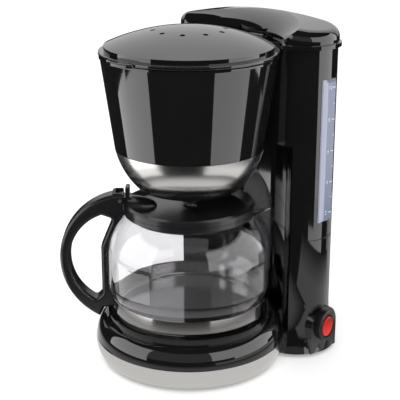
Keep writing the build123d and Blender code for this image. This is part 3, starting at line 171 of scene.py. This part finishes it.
class CoffeeMakerStudio(bpy.types.PropertyGroup):
    """The camera and light of the studio."""

    camera_place: bpy.props.FloatVectorProperty(
        name="Camera", description="Where the camera stands", subtype="TRANSLATION", unit="LENGTH", size=3,
        default=(0.6581, -0.6550, 0.4516))
    camera_heading: bpy.props.FloatProperty(
        name="Heading", description="Direction of the view, from +X", subtype="ANGLE",
        default=math.atan2(0.7018, -0.7123))
    camera_pitch: bpy.props.FloatProperty(
        name="Pitch", description="How far the view looks down", subtype="ANGLE", default=math.radians(18.33))
    lens: bpy.props.FloatProperty(
        name="Lens", description="Focal length on a 36 mm sensor", unit="CAMERA", default=97.8, min=10.0)
    floor_size: bpy.props.FloatProperty(
        name="Floor", description="Side of the pale floor", unit="LENGTH", default=14.0, min=1.0)
    key_power: bpy.props.FloatProperty(
        name="Key power", description="Power of the main softbox in watts", default=10.0, min=0.0)
    ambient: bpy.props.FloatProperty(
        name="Ambient", description="Brightness of the even room light", default=1.0, min=0.0)
    floor_glow: bpy.props.FloatProperty(
        name="Floor glow", description="Light from under the paper floor", default=0.3, min=0.0)
    card_glow: bpy.props.FloatProperty(
        name="Side softboxes", description="Brightness of the two side softboxes", default=3.0, min=0.0)
    back_glow: bpy.props.FloatProperty(
        name="Rear softbox", description="Brightness of the rear softbox", default=1.0, min=0.0)
    table_glow: bpy.props.FloatProperty(
        name="Table", description="Brightness of the table in reflections", default=0.75, min=0.0)
    table_side: bpy.props.FloatProperty(
        name="Table side", description="Width of the table seen at the right in reflections", unit="LENGTH",
        default=0.18)
    table_reach: bpy.props.FloatProperty(
        name="Table reach", description="Radius of the table seen in reflections", unit="LENGTH", default=0.196)


def shader_group(name, inputs, outputs):
    """An empty shader group with its sockets: (group, input node, output node)."""
    group = bpy.data.node_groups.new(name, "ShaderNodeTree")
    for label, kind, value in inputs:
        socket = group.interface.new_socket(label, in_out="INPUT", socket_type=kind)
        socket.default_value = value
    for label, kind in outputs:
        group.interface.new_socket(label, in_out="OUTPUT", socket_type=kind)
    return group, group.nodes.new("NodeGroupInput"), group.nodes.new("NodeGroupOutput")


def spread(tree, source, low, high):
    """A map range node from 0..1 to the values of two sockets or numbers."""
    node = tree.nodes.new("ShaderNodeMapRange")
    tree.links.new(source, node.inputs["Value"])
    for key, value in (("To Min", low), ("To Max", high)):
        if isinstance(value, (int, float)):
            node.inputs[key].default_value = value
        else:
            tree.links.new(value, node.inputs[key])
    return node.outputs["Result"]


def blend_colours(tree, factor, low, high):
    """A colour mix of two sockets."""
    node = tree.nodes.new("ShaderNodeMix")
    node.data_type = "RGBA"
    tree.links.new(factor, node.inputs["Factor"])
    tree.links.new(low, node.inputs["A"])
    tree.links.new(high, node.inputs["B"])
    return node.outputs["Result"]


def noise(tree, vector, scale, detail=2.0, rough=0.5):
    """A noise texture's value on a vector; the scale is a number or a socket."""
    node = tree.nodes.new("ShaderNodeTexNoise")
    node.inputs["Detail"].default_value = detail
    node.inputs["Roughness"].default_value = rough
    tree.links.new(vector, node.inputs["Vector"])
    if isinstance(scale, (int, float)):
        node.inputs["Scale"].default_value = scale
    else:
        tree.links.new(scale, node.inputs["Scale"])
    return node.outputs["Fac"]


def make_skin_group():
    """Moulded skin: slow change of colour and gloss, and a fine grain for the bump."""
    group, start, end = shader_group(
        "moulded_skin",
        [("Dark", "NodeSocketColor", (0.0, 0.0, 0.0, 1.0)), ("Light", "NodeSocketColor", (0.1, 0.1, 0.1, 1.0)),
         ("Smooth", "NodeSocketFloat", 0.1), ("Rough", "NodeSocketFloat", 0.2),
         ("Patch Scale", "NodeSocketFloat", 25.0), ("Grain Scale", "NodeSocketFloat", 900.0)],
        [("Color", "NodeSocketColor"), ("Roughness", "NodeSocketFloat"), ("Height", "NodeSocketFloat")])
    place = group.nodes.new("ShaderNodeTexCoord").outputs["Object"]
    patch = noise(group, place, start.outputs["Patch Scale"], 4.0)
    grain = noise(group, place, start.outputs["Grain Scale"], 2.0)
    colour = blend_colours(group, patch, start.outputs["Dark"], start.outputs["Light"])
    rough = spread(group, patch, start.outputs["Smooth"], start.outputs["Rough"])
    group.links.new(colour, end.inputs["Color"])
    group.links.new(rough, end.inputs["Roughness"])
    group.links.new(grain, end.inputs["Height"])
    return group


def make_brush_group():
    """Brushed metal: fine level lines around the piece, with a slow change of tone."""
    group, start, end = shader_group(
        "brushed_metal",
        [("Dark", "NodeSocketColor", (0.4, 0.4, 0.4, 1.0)), ("Light", "NodeSocketColor", (0.7, 0.7, 0.7, 1.0)),
         ("Smooth", "NodeSocketFloat", 0.2), ("Rough", "NodeSocketFloat", 0.35),
         ("Line Scale", "NodeSocketFloat", 60.0)],
        [("Color", "NodeSocketColor"), ("Roughness", "NodeSocketFloat"), ("Height", "NodeSocketFloat")])
    place = group.nodes.new("ShaderNodeTexCoord").outputs["Object"]
    stretch = group.nodes.new("ShaderNodeMapping")
    stretch.inputs["Scale"].default_value = (0.4, 0.4, 60.0)
    group.links.new(place, stretch.inputs["Vector"])
    lines = noise(group, stretch.outputs["Vector"], start.outputs["Line Scale"], 5.0, 0.65)
    colour = blend_colours(group, lines, start.outputs["Dark"], start.outputs["Light"])
    rough = spread(group, lines, start.outputs["Smooth"], start.outputs["Rough"])
    group.links.new(colour, end.inputs["Color"])
    group.links.new(rough, end.inputs["Roughness"])
    group.links.new(lines, end.inputs["Height"])
    return group


def scaled(colour, factor):
    """The colour made lighter or darker."""
    return tuple(min(1.0, channel * factor) for channel in colour[:3]) + (1.0,)


def finish(name, group, values, bump=(0.1, 0.0001), **constants):
    """A material whose colour, roughness and bump come from a group, with its constants on the shader."""
    material = bpy.data.materials.new(name)
    material.use_nodes = True
    tree = material.node_tree
    shader = tree.nodes["Principled BSDF"]
    skin = tree.nodes.new("ShaderNodeGroup")
    skin.node_tree = group
    for label, value in values.items():
        skin.inputs[label].default_value = value
    tree.links.new(skin.outputs["Color"], shader.inputs["Base Color"])
    tree.links.new(skin.outputs["Roughness"], shader.inputs["Roughness"])
    relief = tree.nodes.new("ShaderNodeBump")
    relief.inputs["Strength"].default_value, relief.inputs["Distance"].default_value = bump
    tree.links.new(skin.outputs["Height"], relief.inputs["Height"])
    tree.links.new(relief.outputs["Normal"], shader.inputs["Normal"])
    for label, value in constants.items():
        shader.inputs[label.replace("_", " ")].default_value = value
    return material


def graded(material, axis, low, high, colour_low, colour_high):
    """Gives a material a base colour graded along one axis between two places."""
    tree = material.node_tree
    place = tree.nodes.new("ShaderNodeTexCoord").outputs["Object"]
    parts = tree.nodes.new("ShaderNodeSeparateXYZ")
    tree.links.new(place, parts.inputs["Vector"])
    level = tree.nodes.new("ShaderNodeMapRange")
    level.inputs["From Min"].default_value = low
    level.inputs["From Max"].default_value = high
    tree.links.new(parts.outputs[axis], level.inputs["Value"])
    mix = tree.nodes.new("ShaderNodeMix")
    mix.data_type = "RGBA"
    tree.links.new(level.outputs["Result"], mix.inputs["Factor"])
    mix.inputs["A"].default_value = colour_low
    mix.inputs["B"].default_value = colour_high
    tree.links.new(mix.outputs["Result"], tree.nodes["Principled BSDF"].inputs["Base Color"])
    return material


def skin_values(colour, smooth, rough, patch=25.0, grain=900.0, spread_by=1.35):
    """Inputs of the moulded skin group around one colour."""
    return {"Dark": scaled(colour, 1.0 / spread_by), "Light": scaled(colour, spread_by), "Smooth": smooth,
            "Rough": rough, "Patch Scale": patch, "Grain Scale": grain}


def brush_values(colour, smooth, rough, lines=60.0, spread_by=1.12):
    """Inputs of the brushed metal group around one colour."""
    return {"Dark": scaled(colour, 1.0 / spread_by), "Light": scaled(colour, spread_by), "Smooth": smooth,
            "Rough": rough, "Line Scale": lines}


def make_finishes(look):
    """All the materials of the coffee maker, by the record's slot."""
    skin, brush = make_skin_group(), make_brush_group()
    made = {
        "gloss_black": finish("gloss_black_shell", skin, skin_values(look.black, 0.035, 0.06, 20.0, 500.0),
                              (0.02, 0.0001), IOR=1.5, Coat_Weight=0.25, Coat_Roughness=0.03),
        "soft_black": finish("semi_matte_black", skin, skin_values(look.soft_black, 0.19, 0.27, 40.0, 1600.0),
                             (0.12, 0.00012), IOR=1.46),
        "satin_steel": finish("satin_steel_sheet", brush, brush_values(look.steel, 0.15, 0.24), (0.04, 0.00005),
                              Metallic=1.0, Anisotropic=0.5),
        "bright_steel": finish("bright_steel_strip", brush, brush_values(scaled(look.steel, 0.85), 0.10, 0.18),
                               (0.03, 0.00005), Metallic=1.0),
        "zinc_steel": finish("zinc_plated_steel", skin, skin_values((0.5, 0.5, 0.51), 0.25, 0.42, 90.0, 1500.0),
                             (0.1, 0.0001), Metallic=1.0),
        "carafe_clear": finish("carafe_glass_clear", skin, skin_values(look.glass, 0.0, 0.015, 30.0, 60.0, 1.02),
                               (0.01, 0.0002), Transmission_Weight=1.0, IOR=1.47),
        # the gauge window's colour is graded lighter over its front bevel, a painted highlight where the bevel faces
        # the light
        "milky_window": graded(finish("milky_gauge_window", skin, skin_values(look.window, 0.16, 0.26, 30.0, 700.0,
                                                                              1.1), (0.05, 0.0001), IOR=1.49),
                               "Y", GAUGE_FRONT_Y + GAUGE_HIGHLIGHT_SPAN[0], GAUGE_FRONT_Y + GAUGE_HIGHLIGHT_SPAN[1],
                               look.window_edge, look.window),
        "gauge_print": finish("gauge_print", skin, skin_values((0.62, 0.64, 0.70), 0.3, 0.4, 60.0, 900.0, 1.1)),
        "tank_white": finish("natural_tank_plastic", skin, skin_values((0.55, 0.56, 0.58), 0.3, 0.42, 30.0, 900.0,
                                                                       1.08), (0.08, 0.0001), IOR=1.49),
        "plate_enamel": finish("coated_plate", skin, skin_values((0.012, 0.012, 0.012), 0.3, 0.45, 60.0, 1800.0),
                               (0.15, 0.00015)),
        "cast_aluminium": finish("extruded_aluminium", brush, brush_values((0.55, 0.55, 0.56), 0.3, 0.45, 30.0),
                                 (0.1, 0.0001), Metallic=1.0),
        "silicone_clear": finish("clear_silicone", skin, skin_values((0.5, 0.5, 0.48), 0.35, 0.5, 50.0, 900.0, 1.1),
                                 (0.1, 0.0001), Subsurface_Weight=0.2, Subsurface_Scale=0.004),
        "rubber_black": finish("black_rubber", skin, skin_values((0.014, 0.014, 0.014), 0.5, 0.65, 80.0, 1400.0),
                               (0.2, 0.0002)),
        # the rocker's red is painted lighter at the bottom as a painted highlight and darker at the top as painted
        # shade
        "rocker_red": graded(finish("red_rocker_plastic", skin, skin_values(look.rocker, 0.14, 0.22, 60.0, 900.0),
                                    (0.04, 0.0001), IOR=1.49, Subsurface_Weight=0.25, Subsurface_Scale=0.003),
                             "Z", *ROCKER_SHADE_LEVELS, scaled(look.rocker, 1.35), scaled(look.rocker, 0.6)),
        "terminal_brass": finish("tinned_brass", skin, skin_values((0.62, 0.5, 0.26), 0.25, 0.4, 120.0, 1500.0),
                                 (0.08, 0.0001), Metallic=1.0),
    }
    return made


def geometry_tree(name, inputs):
    """An empty geometry node tree with a geometry output: (tree, input node, output node)."""
    tree = bpy.data.node_groups.new(name, "GeometryNodeTree")
    tree.interface.new_socket("Geometry", in_out="INPUT", socket_type="NodeSocketGeometry")
    for label, kind, value in inputs:
        socket = tree.interface.new_socket(label, in_out="INPUT", socket_type=kind)
        socket.default_value = value
    tree.interface.new_socket("Geometry", in_out="OUTPUT", socket_type="NodeSocketGeometry")
    return tree, tree.nodes.new("NodeGroupInput"), tree.nodes.new("NodeGroupOutput")


def close_tree(tree, shape, end, material):
    """Ends a geometry tree in real geometry of one material."""
    real = tree.nodes.new("GeometryNodeRealizeInstances")
    coat = tree.nodes.new("GeometryNodeSetMaterial")
    coat.inputs["Material"].default_value = material
    tree.links.new(shape, real.inputs["Geometry"])
    tree.links.new(real.outputs["Geometry"], coat.inputs["Geometry"])
    tree.links.new(coat.outputs["Geometry"], end.inputs["Geometry"])


def grow(name, tree, values, body, points=()):
    """A plain mesh piece made by a geometry tree on some points, riding on a body."""
    seed = bpy.data.meshes.new(name)
    seed.from_pydata([tuple(point) for point in points], [], [])
    piece = bpy.data.objects.new(name, seed)
    bpy.context.scene.collection.objects.link(piece)
    modifier = piece.modifiers.new("shape", "NODES")
    modifier.node_group = tree
    for item in tree.interface.items_tree:
        if item.in_out == "INPUT" and item.name in values:
            modifier[item.identifier] = values[item.name]
    graph = bpy.context.evaluated_depsgraph_get()
    mesh = bpy.data.meshes.new_from_object(piece.evaluated_get(graph), depsgraph=graph)
    piece.modifiers.clear()
    piece.data = mesh
    mesh.name = name
    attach(piece, body)
    return piece


def solid_centres(node, reach=0.02):
    """Middle of each separate solid of a node, from its vertices' places in plan."""
    groups = []
    for vertex in NODES[node].data.vertices:
        for group in groups:
            if (group[0].xy - vertex.co.xy).length < reach:
                group.append(vertex.co)
                break
        else:
            groups.append([vertex.co])
    centres = []
    for group in groups:
        low = Vector(min(co[axis] for co in group) for axis in range(3))
        high = Vector(max(co[axis] for co in group) for axis in range(3))
        centres.append((low + high) / 2)
    return centres


class COFFEE_OT_dress(bpy.types.Operator):
    """Give every CAD node its finish"""

    bl_idname = "coffee.dress"
    bl_label = "Dress the Machine"

    def execute(self, context):
        FINISHES.update(make_finishes(context.scene.coffee_finishes))
        for slot, names in SLOTS.items():
            for name in names:
                mesh = NODES[name].data
                mesh.materials.clear()
                mesh.materials.append(FINISHES[slot])
        return {"FINISHED"}


def make_mark_tree(material):
    """Level marks: a column of flat bars on the gauge's face."""
    tree, start, end = geometry_tree("level_marks", [
        ("Count", "NodeSocketInt", 5), ("Place", "NodeSocketVector", (0.0, 0.0, 0.0)),
        ("Step", "NodeSocketVector", (0.0, 0.0, 0.0287)), ("Bar", "NodeSocketVector", (0.0003, 0.004, 0.0009))])
    column = tree.nodes.new("GeometryNodeMeshLine")
    bar = tree.nodes.new("GeometryNodeMeshCube")
    repeat = tree.nodes.new("GeometryNodeInstanceOnPoints")
    tree.links.new(start.outputs["Count"], column.inputs["Count"])
    tree.links.new(start.outputs["Place"], column.inputs["Start Location"])
    tree.links.new(start.outputs["Step"], column.inputs["Offset"])
    tree.links.new(start.outputs["Bar"], bar.inputs["Size"])
    tree.links.new(column.outputs["Mesh"], repeat.inputs["Points"])
    tree.links.new(bar.outputs["Mesh"], repeat.inputs["Instance"])
    close_tree(tree, repeat.outputs["Instances"], end, material)
    return tree


class COFFEE_OT_gauge_marks(bpy.types.Operator):
    """Print the level marks and plain cup numbers on the gauge"""

    bl_idname = "coffee.gauge_marks"
    bl_label = "Print the Gauge"

    def execute(self, context):
        sizes = context.scene.coffee_sizes
        low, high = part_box("level_gauge")
        middle = (low.y + high.y) / 2
        face = high.x + sizes.print_proud / 2
        tree = make_mark_tree(FINISHES["gauge_print"])
        step = (sizes.mark_high - sizes.mark_low) / (sizes.mark_count - 1)
        grow("gauge_marks", tree, {
            "Count": sizes.mark_count, "Place": (face, middle + sizes.mark_length, sizes.mark_low),
            "Step": (0.0, 0.0, step), "Bar": (sizes.print_proud, sizes.mark_length, MARK_THICK)},
            "machine")
        grow("gauge_half_marks", tree, {
            "Count": sizes.mark_count - 1,
            "Place": (face, middle + sizes.mark_length * 1.25, sizes.mark_low + step / 2),
            "Step": (0.0, 0.0, step), "Bar": (sizes.print_proud, sizes.mark_length / 2, HALF_MARK_THICK)},
            "machine")
        for index in range(sizes.mark_count):
            self.print_number(2 * (index + 1), Vector((face, middle - sizes.mark_length * 0.45,
                                                       sizes.mark_low + index * step)), sizes)
        return {"FINISHED"}

    def print_number(self, number, place, sizes):
        """One plain number, facing right, centred on a place."""
        curve = bpy.data.curves.new("number", "FONT")
        curve.body = str(number)
        curve.size = sizes.number_size
        curve.align_x, curve.align_y = "CENTER", "CENTER"
        curve.extrude = sizes.print_proud / 2
        holder = bpy.data.objects.new("number", curve)
        bpy.context.scene.collection.objects.link(holder)
        graph = bpy.context.evaluated_depsgraph_get()
        mesh = bpy.data.meshes.new_from_object(holder.evaluated_get(graph), depsgraph=graph)
        bpy.data.objects.remove(holder)
        upright = Matrix(((0, 0, 1), (1, 0, 0), (0, 1, 0))).to_4x4()
        mesh.transform(Matrix.Translation(place) @ upright)
        mesh.materials.clear()
        mesh.materials.append(FINISHES["gauge_print"])
        piece = bpy.data.objects.new(f"gauge_number_{number}", mesh)
        bpy.context.scene.collection.objects.link(piece)
        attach(piece, "machine")


def make_spring_tree(material):
    """A round-wire coil spring."""
    tree, start, end = geometry_tree("coil_spring", [
        ("Turns", "NodeSocketFloat", 6.0), ("Radius", "NodeSocketFloat", 0.0058), ("Wire", "NodeSocketFloat", 0.0006),
        ("Length", "NodeSocketFloat", 0.014), ("Place", "NodeSocketVector", (0.0, 0.0, 0.0))])
    coil = tree.nodes.new("GeometryNodeCurveSpiral")
    coil.inputs["Resolution"].default_value = 32
    wire = tree.nodes.new("GeometryNodeCurvePrimitiveCircle")
    wire.inputs["Resolution"].default_value = 10
    sweep = tree.nodes.new("GeometryNodeCurveToMesh")
    sweep.inputs["Fill Caps"].default_value = True
    shift = tree.nodes.new("GeometryNodeTransform")
    tree.links.new(start.outputs["Turns"], coil.inputs["Rotations"])
    tree.links.new(start.outputs["Radius"], coil.inputs["Start Radius"])
    tree.links.new(start.outputs["Radius"], coil.inputs["End Radius"])
    tree.links.new(start.outputs["Length"], coil.inputs["Height"])
    tree.links.new(start.outputs["Wire"], wire.inputs["Radius"])
    tree.links.new(coil.outputs["Curve"], sweep.inputs["Curve"])
    tree.links.new(wire.outputs["Curve"], sweep.inputs["Profile Curve"])
    tree.links.new(sweep.outputs["Mesh"], shift.inputs["Geometry"])
    tree.links.new(start.outputs["Place"], shift.inputs["Translation"])
    close_tree(tree, shift.outputs["Geometry"], end, material)
    return tree


class COFFEE_OT_valve_spring(bpy.types.Operator):
    """Wind the drip valve's spring"""

    bl_idname = "coffee.valve_spring"
    bl_label = "Wind the Valve Spring"

    def execute(self, context):
        sizes = context.scene.coffee_sizes
        low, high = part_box("valve_spring")
        wire = sizes.spring_wire / 2
        middle = (low + high) / 2
        length = high.z - low.z
        spring = grow("valve_spring_wire", make_spring_tree(FINISHES["zinc_steel"]), {
            "Turns": sizes.spring_turns, "Radius": (high.x - low.x) / 2 - wire, "Wire": wire,
            "Length": length - 2 * wire, "Place": (middle.x, middle.y, low.z + wire)}, "filter")
        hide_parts("valve_spring")
        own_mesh(spring)
        return {"FINISHED"}


def make_screw_tree(material):
    """Cross-head screws seen from below: a rounded head with a cross recess, and a plain shank."""
    tree, start, end = geometry_tree("cross_screws", [
        ("Head Radius", "NodeSocketFloat", 0.003), ("Head Height", "NodeSocketFloat", 0.0016),
        ("Shank Radius", "NodeSocketFloat", 0.0015), ("Shank Length", "NodeSocketFloat", 0.014)])

    def cylinder(radius, depth, low):
        node = tree.nodes.new("GeometryNodeMeshCylinder")
        node.inputs["Vertices"].default_value = 32
        tree.links.new(radius, node.inputs["Radius"])
        tree.links.new(depth, node.inputs["Depth"])
        half = tree.nodes.new("ShaderNodeMath")
        half.operation = "MULTIPLY_ADD"
        half.inputs[1].default_value = 0.5
        half.inputs[2].default_value = 0.0
        tree.links.new(depth, half.inputs[0])
        if low is not None:
            tree.links.new(low, half.inputs[2])
        place = tree.nodes.new("ShaderNodeCombineXYZ")
        tree.links.new(half.outputs["Value"], place.inputs["Z"])
        shift = tree.nodes.new("GeometryNodeTransform")
        tree.links.new(node.outputs["Mesh"], shift.inputs["Geometry"])
        tree.links.new(place.outputs["Vector"], shift.inputs["Translation"])
        return shift.outputs["Geometry"]

    head = cylinder(start.outputs["Head Radius"], start.outputs["Head Height"], None)
    shank = cylinder(start.outputs["Shank Radius"], start.outputs["Shank Length"], start.outputs["Head Height"])
    recess = tree.nodes.new("GeometryNodeMeshBoolean")
    recess.operation = "DIFFERENCE"
    tree.links.new(head, recess.inputs["Mesh 1"])
    for size in RECESS_BLADES:
        blade = tree.nodes.new("GeometryNodeMeshCube")
        blade.inputs["Size"].default_value = size
        tree.links.new(blade.outputs["Mesh"], recess.inputs["Mesh 2"])
    whole = tree.nodes.new("GeometryNodeJoinGeometry")
    tree.links.new(recess.outputs["Mesh"], whole.inputs["Geometry"])
    tree.links.new(shank, whole.inputs["Geometry"])
    repeat = tree.nodes.new("GeometryNodeInstanceOnPoints")
    tree.links.new(start.outputs["Geometry"], repeat.inputs["Points"])
    tree.links.new(whole.outputs["Geometry"], repeat.inputs["Instance"])
    close_tree(tree, repeat.outputs["Instances"], end, material)
    return tree


class COFFEE_OT_screws(bpy.types.Operator):
    """Put cross-head screws in the base"""

    bl_idname = "coffee.screws"
    bl_label = "Drive the Base Screws"

    def execute(self, context):
        low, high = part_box("base_screws")
        points = [Vector((centre.x, centre.y, low.z)) for centre in solid_centres("base_screws")]
        sizes = context.scene.coffee_sizes
        screws = grow("base_cross_screws", make_screw_tree(FINISHES["zinc_steel"]), {
            "Head Radius": sizes.screw_head / 2, "Shank Length": high.z - low.z - sizes.screw_head_height,
            "Head Height": sizes.screw_head_height}, "machine", points)
        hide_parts("base_screws")
        return {"FINISHED"}


def stage_plane(name, corners, material):
    """A flat four-cornered stage piece."""
    mesh = bpy.data.meshes.new(name)
    mesh.from_pydata([tuple(corner) for corner in corners], [], [(0, 1, 2, 3)])
    mesh.materials.append(material)
    piece = bpy.data.objects.new(name, mesh)
    bpy.context.scene.collection.objects.link(piece)
    return piece


def glow_material(name):
    """A glowing surface whose strength comes from a map range node: (material, node tree, that node)."""
    material = bpy.data.materials.new(name)
    material.use_nodes = True
    tree = material.node_tree
    tree.nodes.remove(tree.nodes["Principled BSDF"])
    glow = tree.nodes.new("ShaderNodeEmission")
    level = tree.nodes.new("ShaderNodeMapRange")
    tree.links.new(level.outputs["Result"], glow.inputs["Strength"])
    tree.links.new(glow.outputs["Emission"], tree.nodes["Material Output"].inputs["Surface"])
    material.cycles.emission_sampling = "NONE"
    return material, tree, level


def reflected_piece(name, points, faces, material):
    """A stage piece kept out of the picture and the shadows, so that it shows in reflections alone."""
    mesh = bpy.data.meshes.new(name)
    mesh.from_pydata(points, [], faces)
    mesh.materials.append(material)
    piece = bpy.data.objects.new(name, mesh)
    bpy.context.scene.collection.objects.link(piece)
    piece.visible_camera = False
    piece.visible_diffuse = False
    piece.visible_shadow = False


def glow_card(name, azimuths, distance, levels, glows):
    """A curved upright glowing card, graded with height; azimuths are degrees from the camera's side."""
    count = CARD_STEPS
    points, faces = [], []
    for index in range(count + 1):
        angle = CAMERA_SIDE + math.radians(azimuths[0] + (azimuths[1] - azimuths[0]) * index / count)
        for level in levels:
            points.append((distance * math.cos(angle), distance * math.sin(angle), level))
    for index in range(count):
        first = 2 * index
        faces.append((first, first + 2, first + 3, first + 1))
    material, tree, grade = glow_material(name)
    parts = tree.nodes.new("ShaderNodeSeparateXYZ")
    tree.links.new(tree.nodes.new("ShaderNodeTexCoord").outputs["Object"], parts.inputs["Vector"])
    tree.links.new(parts.outputs["Z"], grade.inputs["Value"])
    for label, value in zip(("From Min", "From Max", "To Min", "To Max"), (*levels, *glows)):
        grade.inputs[label].default_value = value
    reflected_piece(name, points, faces, material)


def area_light(name, place, aim, size, power):
    """A soft light that doesn't show in reflections."""
    lamp = bpy.data.lights.new(name, "AREA")
    lamp.shape = "RECTANGLE"
    lamp.size, lamp.size_y = size
    lamp.energy = power
    holder = bpy.data.objects.new(name, lamp)
    holder.location = place
    holder.rotation_euler = (Vector(aim) - Vector(place)).to_track_quat("-Z", "Y").to_euler()
    bpy.context.scene.collection.objects.link(holder)
    holder.visible_glossy = False
    holder.visible_camera = False
    return holder


class COFFEE_OT_stage(bpy.types.Operator):
    """Build the pale floor, the soft light and the camera"""

    bl_idname = "coffee.stage"
    bl_label = "Build the Studio"

    def execute(self, context):
        studio = context.scene.coffee_studio
        paper = bpy.data.materials.new("pale_paper")
        paper.use_nodes = True
        shader = paper.node_tree.nodes["Principled BSDF"]
        shader.inputs["Base Color"].default_value = PAPER_COLOUR
        shader.inputs["Roughness"].default_value = 0.9
        shader.inputs["Specular IOR Level"].default_value = 0.0
        shader.inputs["Emission Color"].default_value = (1.0, 1.0, 1.0, 1.0)
        shader.inputs["Emission Strength"].default_value = studio.floor_glow
        half = studio.floor_size / 2
        corners = ((-half, -half), (half, -half), (half, half), (-half, half))
        floor = stage_plane("floor", [(*corner, FLOOR_LEVEL) for corner in corners], paper)
        floor.visible_glossy = False
        for name, azimuths, levels, shares in CARDS:
            glow_card(name, azimuths, CARD_DISTANCE, levels, [studio.card_glow * share for share in shares])
        glow_card("card_back", glows=[studio.back_glow * share for share in BACK_SHARES], **BACK_CARD)
        self.lay_table(studio)
        area_light("key", (0.9, -0.9, 1.6), (0, 0, 0.1), (1.6, 1.6), studio.key_power)
        area_light("fill", (-1.4, -0.6, 1.2), (0, 0, 0.1), (1.4, 1.4), studio.key_power * 0.5)
        self.light_world(context)
        self.set_camera(context, studio)
        return {"FINISHED"}

    def set_camera(self, context, studio):
        """The camera at the photo's angle."""
        camera = bpy.data.cameras.new("photo_camera")
        camera.lens = studio.lens
        camera.sensor_width = 36.0
        holder = bpy.data.objects.new("photo_camera", camera)
        holder.location = studio.camera_place
        level = math.cos(studio.camera_pitch)
        view = Vector((level * math.cos(studio.camera_heading), level * math.sin(studio.camera_heading),
                       -math.sin(studio.camera_pitch)))
        holder.rotation_euler = view.to_track_quat("-Z", "Y").to_euler()
        context.scene.collection.objects.link(holder)
        context.scene.camera = holder
        context.scene.view_settings.view_transform = "Standard"

    def lay_table(self, studio):
        """White table top around the machine and at its right side, seen only in reflections."""
        reach = studio.table_reach
        end = reach + studio.table_side
        self.table_piece("table_top", (0.0, 360.0), (0.0, reach), reach * 0.72, studio.table_glow)
        self.table_piece("table_side", TABLE_SIDE_AZIMUTHS, (reach, end), end - studio.table_side * 0.6,
                         studio.table_glow * TABLE_SIDE_GAIN)

    def table_piece(self, name, azimuths, radii, fade_from, glow):
        """A flat ring or part of a ring around the carafe's axis, fading to its outer edge."""
        count = TABLE_STEPS
        points, faces = [], []
        for index in range(count + 1):
            angle = CAMERA_SIDE + math.radians(azimuths[0] + (azimuths[1] - azimuths[0]) * index / count)
            for radius in radii:
                points.append(CARAFE_AXIS + Vector((radius * math.cos(angle), radius * math.sin(angle), TABLE_LEVEL)))
        for index in range(count):
            first = 2 * index
            faces.append((first, first + 1, first + 3, first + 2))
        material, tree, level = glow_material(name)
        offset = tree.nodes.new("ShaderNodeVectorMath")
        offset.operation = "DISTANCE"
        offset.inputs[1].default_value = CARAFE_AXIS
        tree.links.new(tree.nodes.new("ShaderNodeTexCoord").outputs["Object"], offset.inputs[0])
        tree.links.new(offset.outputs["Value"], level.inputs["Value"])
        for label, value in (("From Min", radii[1]), ("From Max", fade_from), ("To Max", glow)):
            level.inputs[label].default_value = value
        reflected_piece(name, points, faces, material)

    def light_world(self, context):
        """Pale world for the camera, dim room in the reflections."""
        world = bpy.data.worlds.new("studio")
        context.scene.world = world
        world.use_nodes = True
        tree = world.node_tree
        room = tree.nodes["Background"]
        room.inputs["Color"].default_value = ROOM_COLOUR
        room.inputs["Strength"].default_value = ROOM_STRENGTH
        pale = tree.nodes.new("ShaderNodeBackground")
        pale.inputs["Strength"].default_value = context.scene.coffee_studio.ambient
        rays = tree.nodes.new("ShaderNodeLightPath")
        mix = tree.nodes.new("ShaderNodeMixShader")
        either = tree.nodes.new("ShaderNodeMath")
        either.operation = "MAXIMUM"
        tree.links.new(rays.outputs["Is Camera Ray"], either.inputs[0])
        tree.links.new(rays.outputs["Is Diffuse Ray"], either.inputs[1])
        tree.links.new(either.outputs["Value"], mix.inputs["Fac"])
        tree.links.new(room.outputs["Background"], mix.inputs[1])
        tree.links.new(pale.outputs["Background"], mix.inputs[2])
        tree.links.new(mix.outputs["Shader"], tree.nodes["World Output"].inputs["Surface"])


class COFFEE_PT_panel(bpy.types.Panel):
    """Sidebar panel that lists the steps"""

    bl_label = "Coffee Maker"
    bl_space_type = "VIEW_3D"
    bl_region_type = "UI"
    bl_category = "Coffee Maker"

    def draw(self, context):
        for step in STEPS:
            self.layout.operator(step.bl_idname)


STEPS = (COFFEE_OT_dress, COFFEE_OT_gauge_marks, COFFEE_OT_valve_spring, COFFEE_OT_screws, COFFEE_OT_stage)
CLASSES = (CoffeeMakerFinishes, CoffeeMakerSizes, CoffeeMakerStudio, *STEPS, COFFEE_PT_panel)


def register():
    for cls in CLASSES:
        bpy.utils.register_class(cls)
    bpy.types.Scene.coffee_finishes = bpy.props.PointerProperty(type=CoffeeMakerFinishes)
    bpy.types.Scene.coffee_sizes = bpy.props.PointerProperty(type=CoffeeMakerSizes)
    bpy.types.Scene.coffee_studio = bpy.props.PointerProperty(type=CoffeeMakerStudio)


def unregister():
    del bpy.types.Scene.coffee_studio
    del bpy.types.Scene.coffee_sizes
    del bpy.types.Scene.coffee_finishes
    for cls in reversed(CLASSES):
        bpy.utils.unregister_class(cls)


def main():
    """Run every step in order."""
    register()
    bpy.ops.coffee.dress()
    bpy.ops.coffee.gauge_marks()
    bpy.ops.coffee.valve_spring()
    bpy.ops.coffee.screws()
    bpy.ops.coffee.stage()


if __name__ == "__main__":
    main()
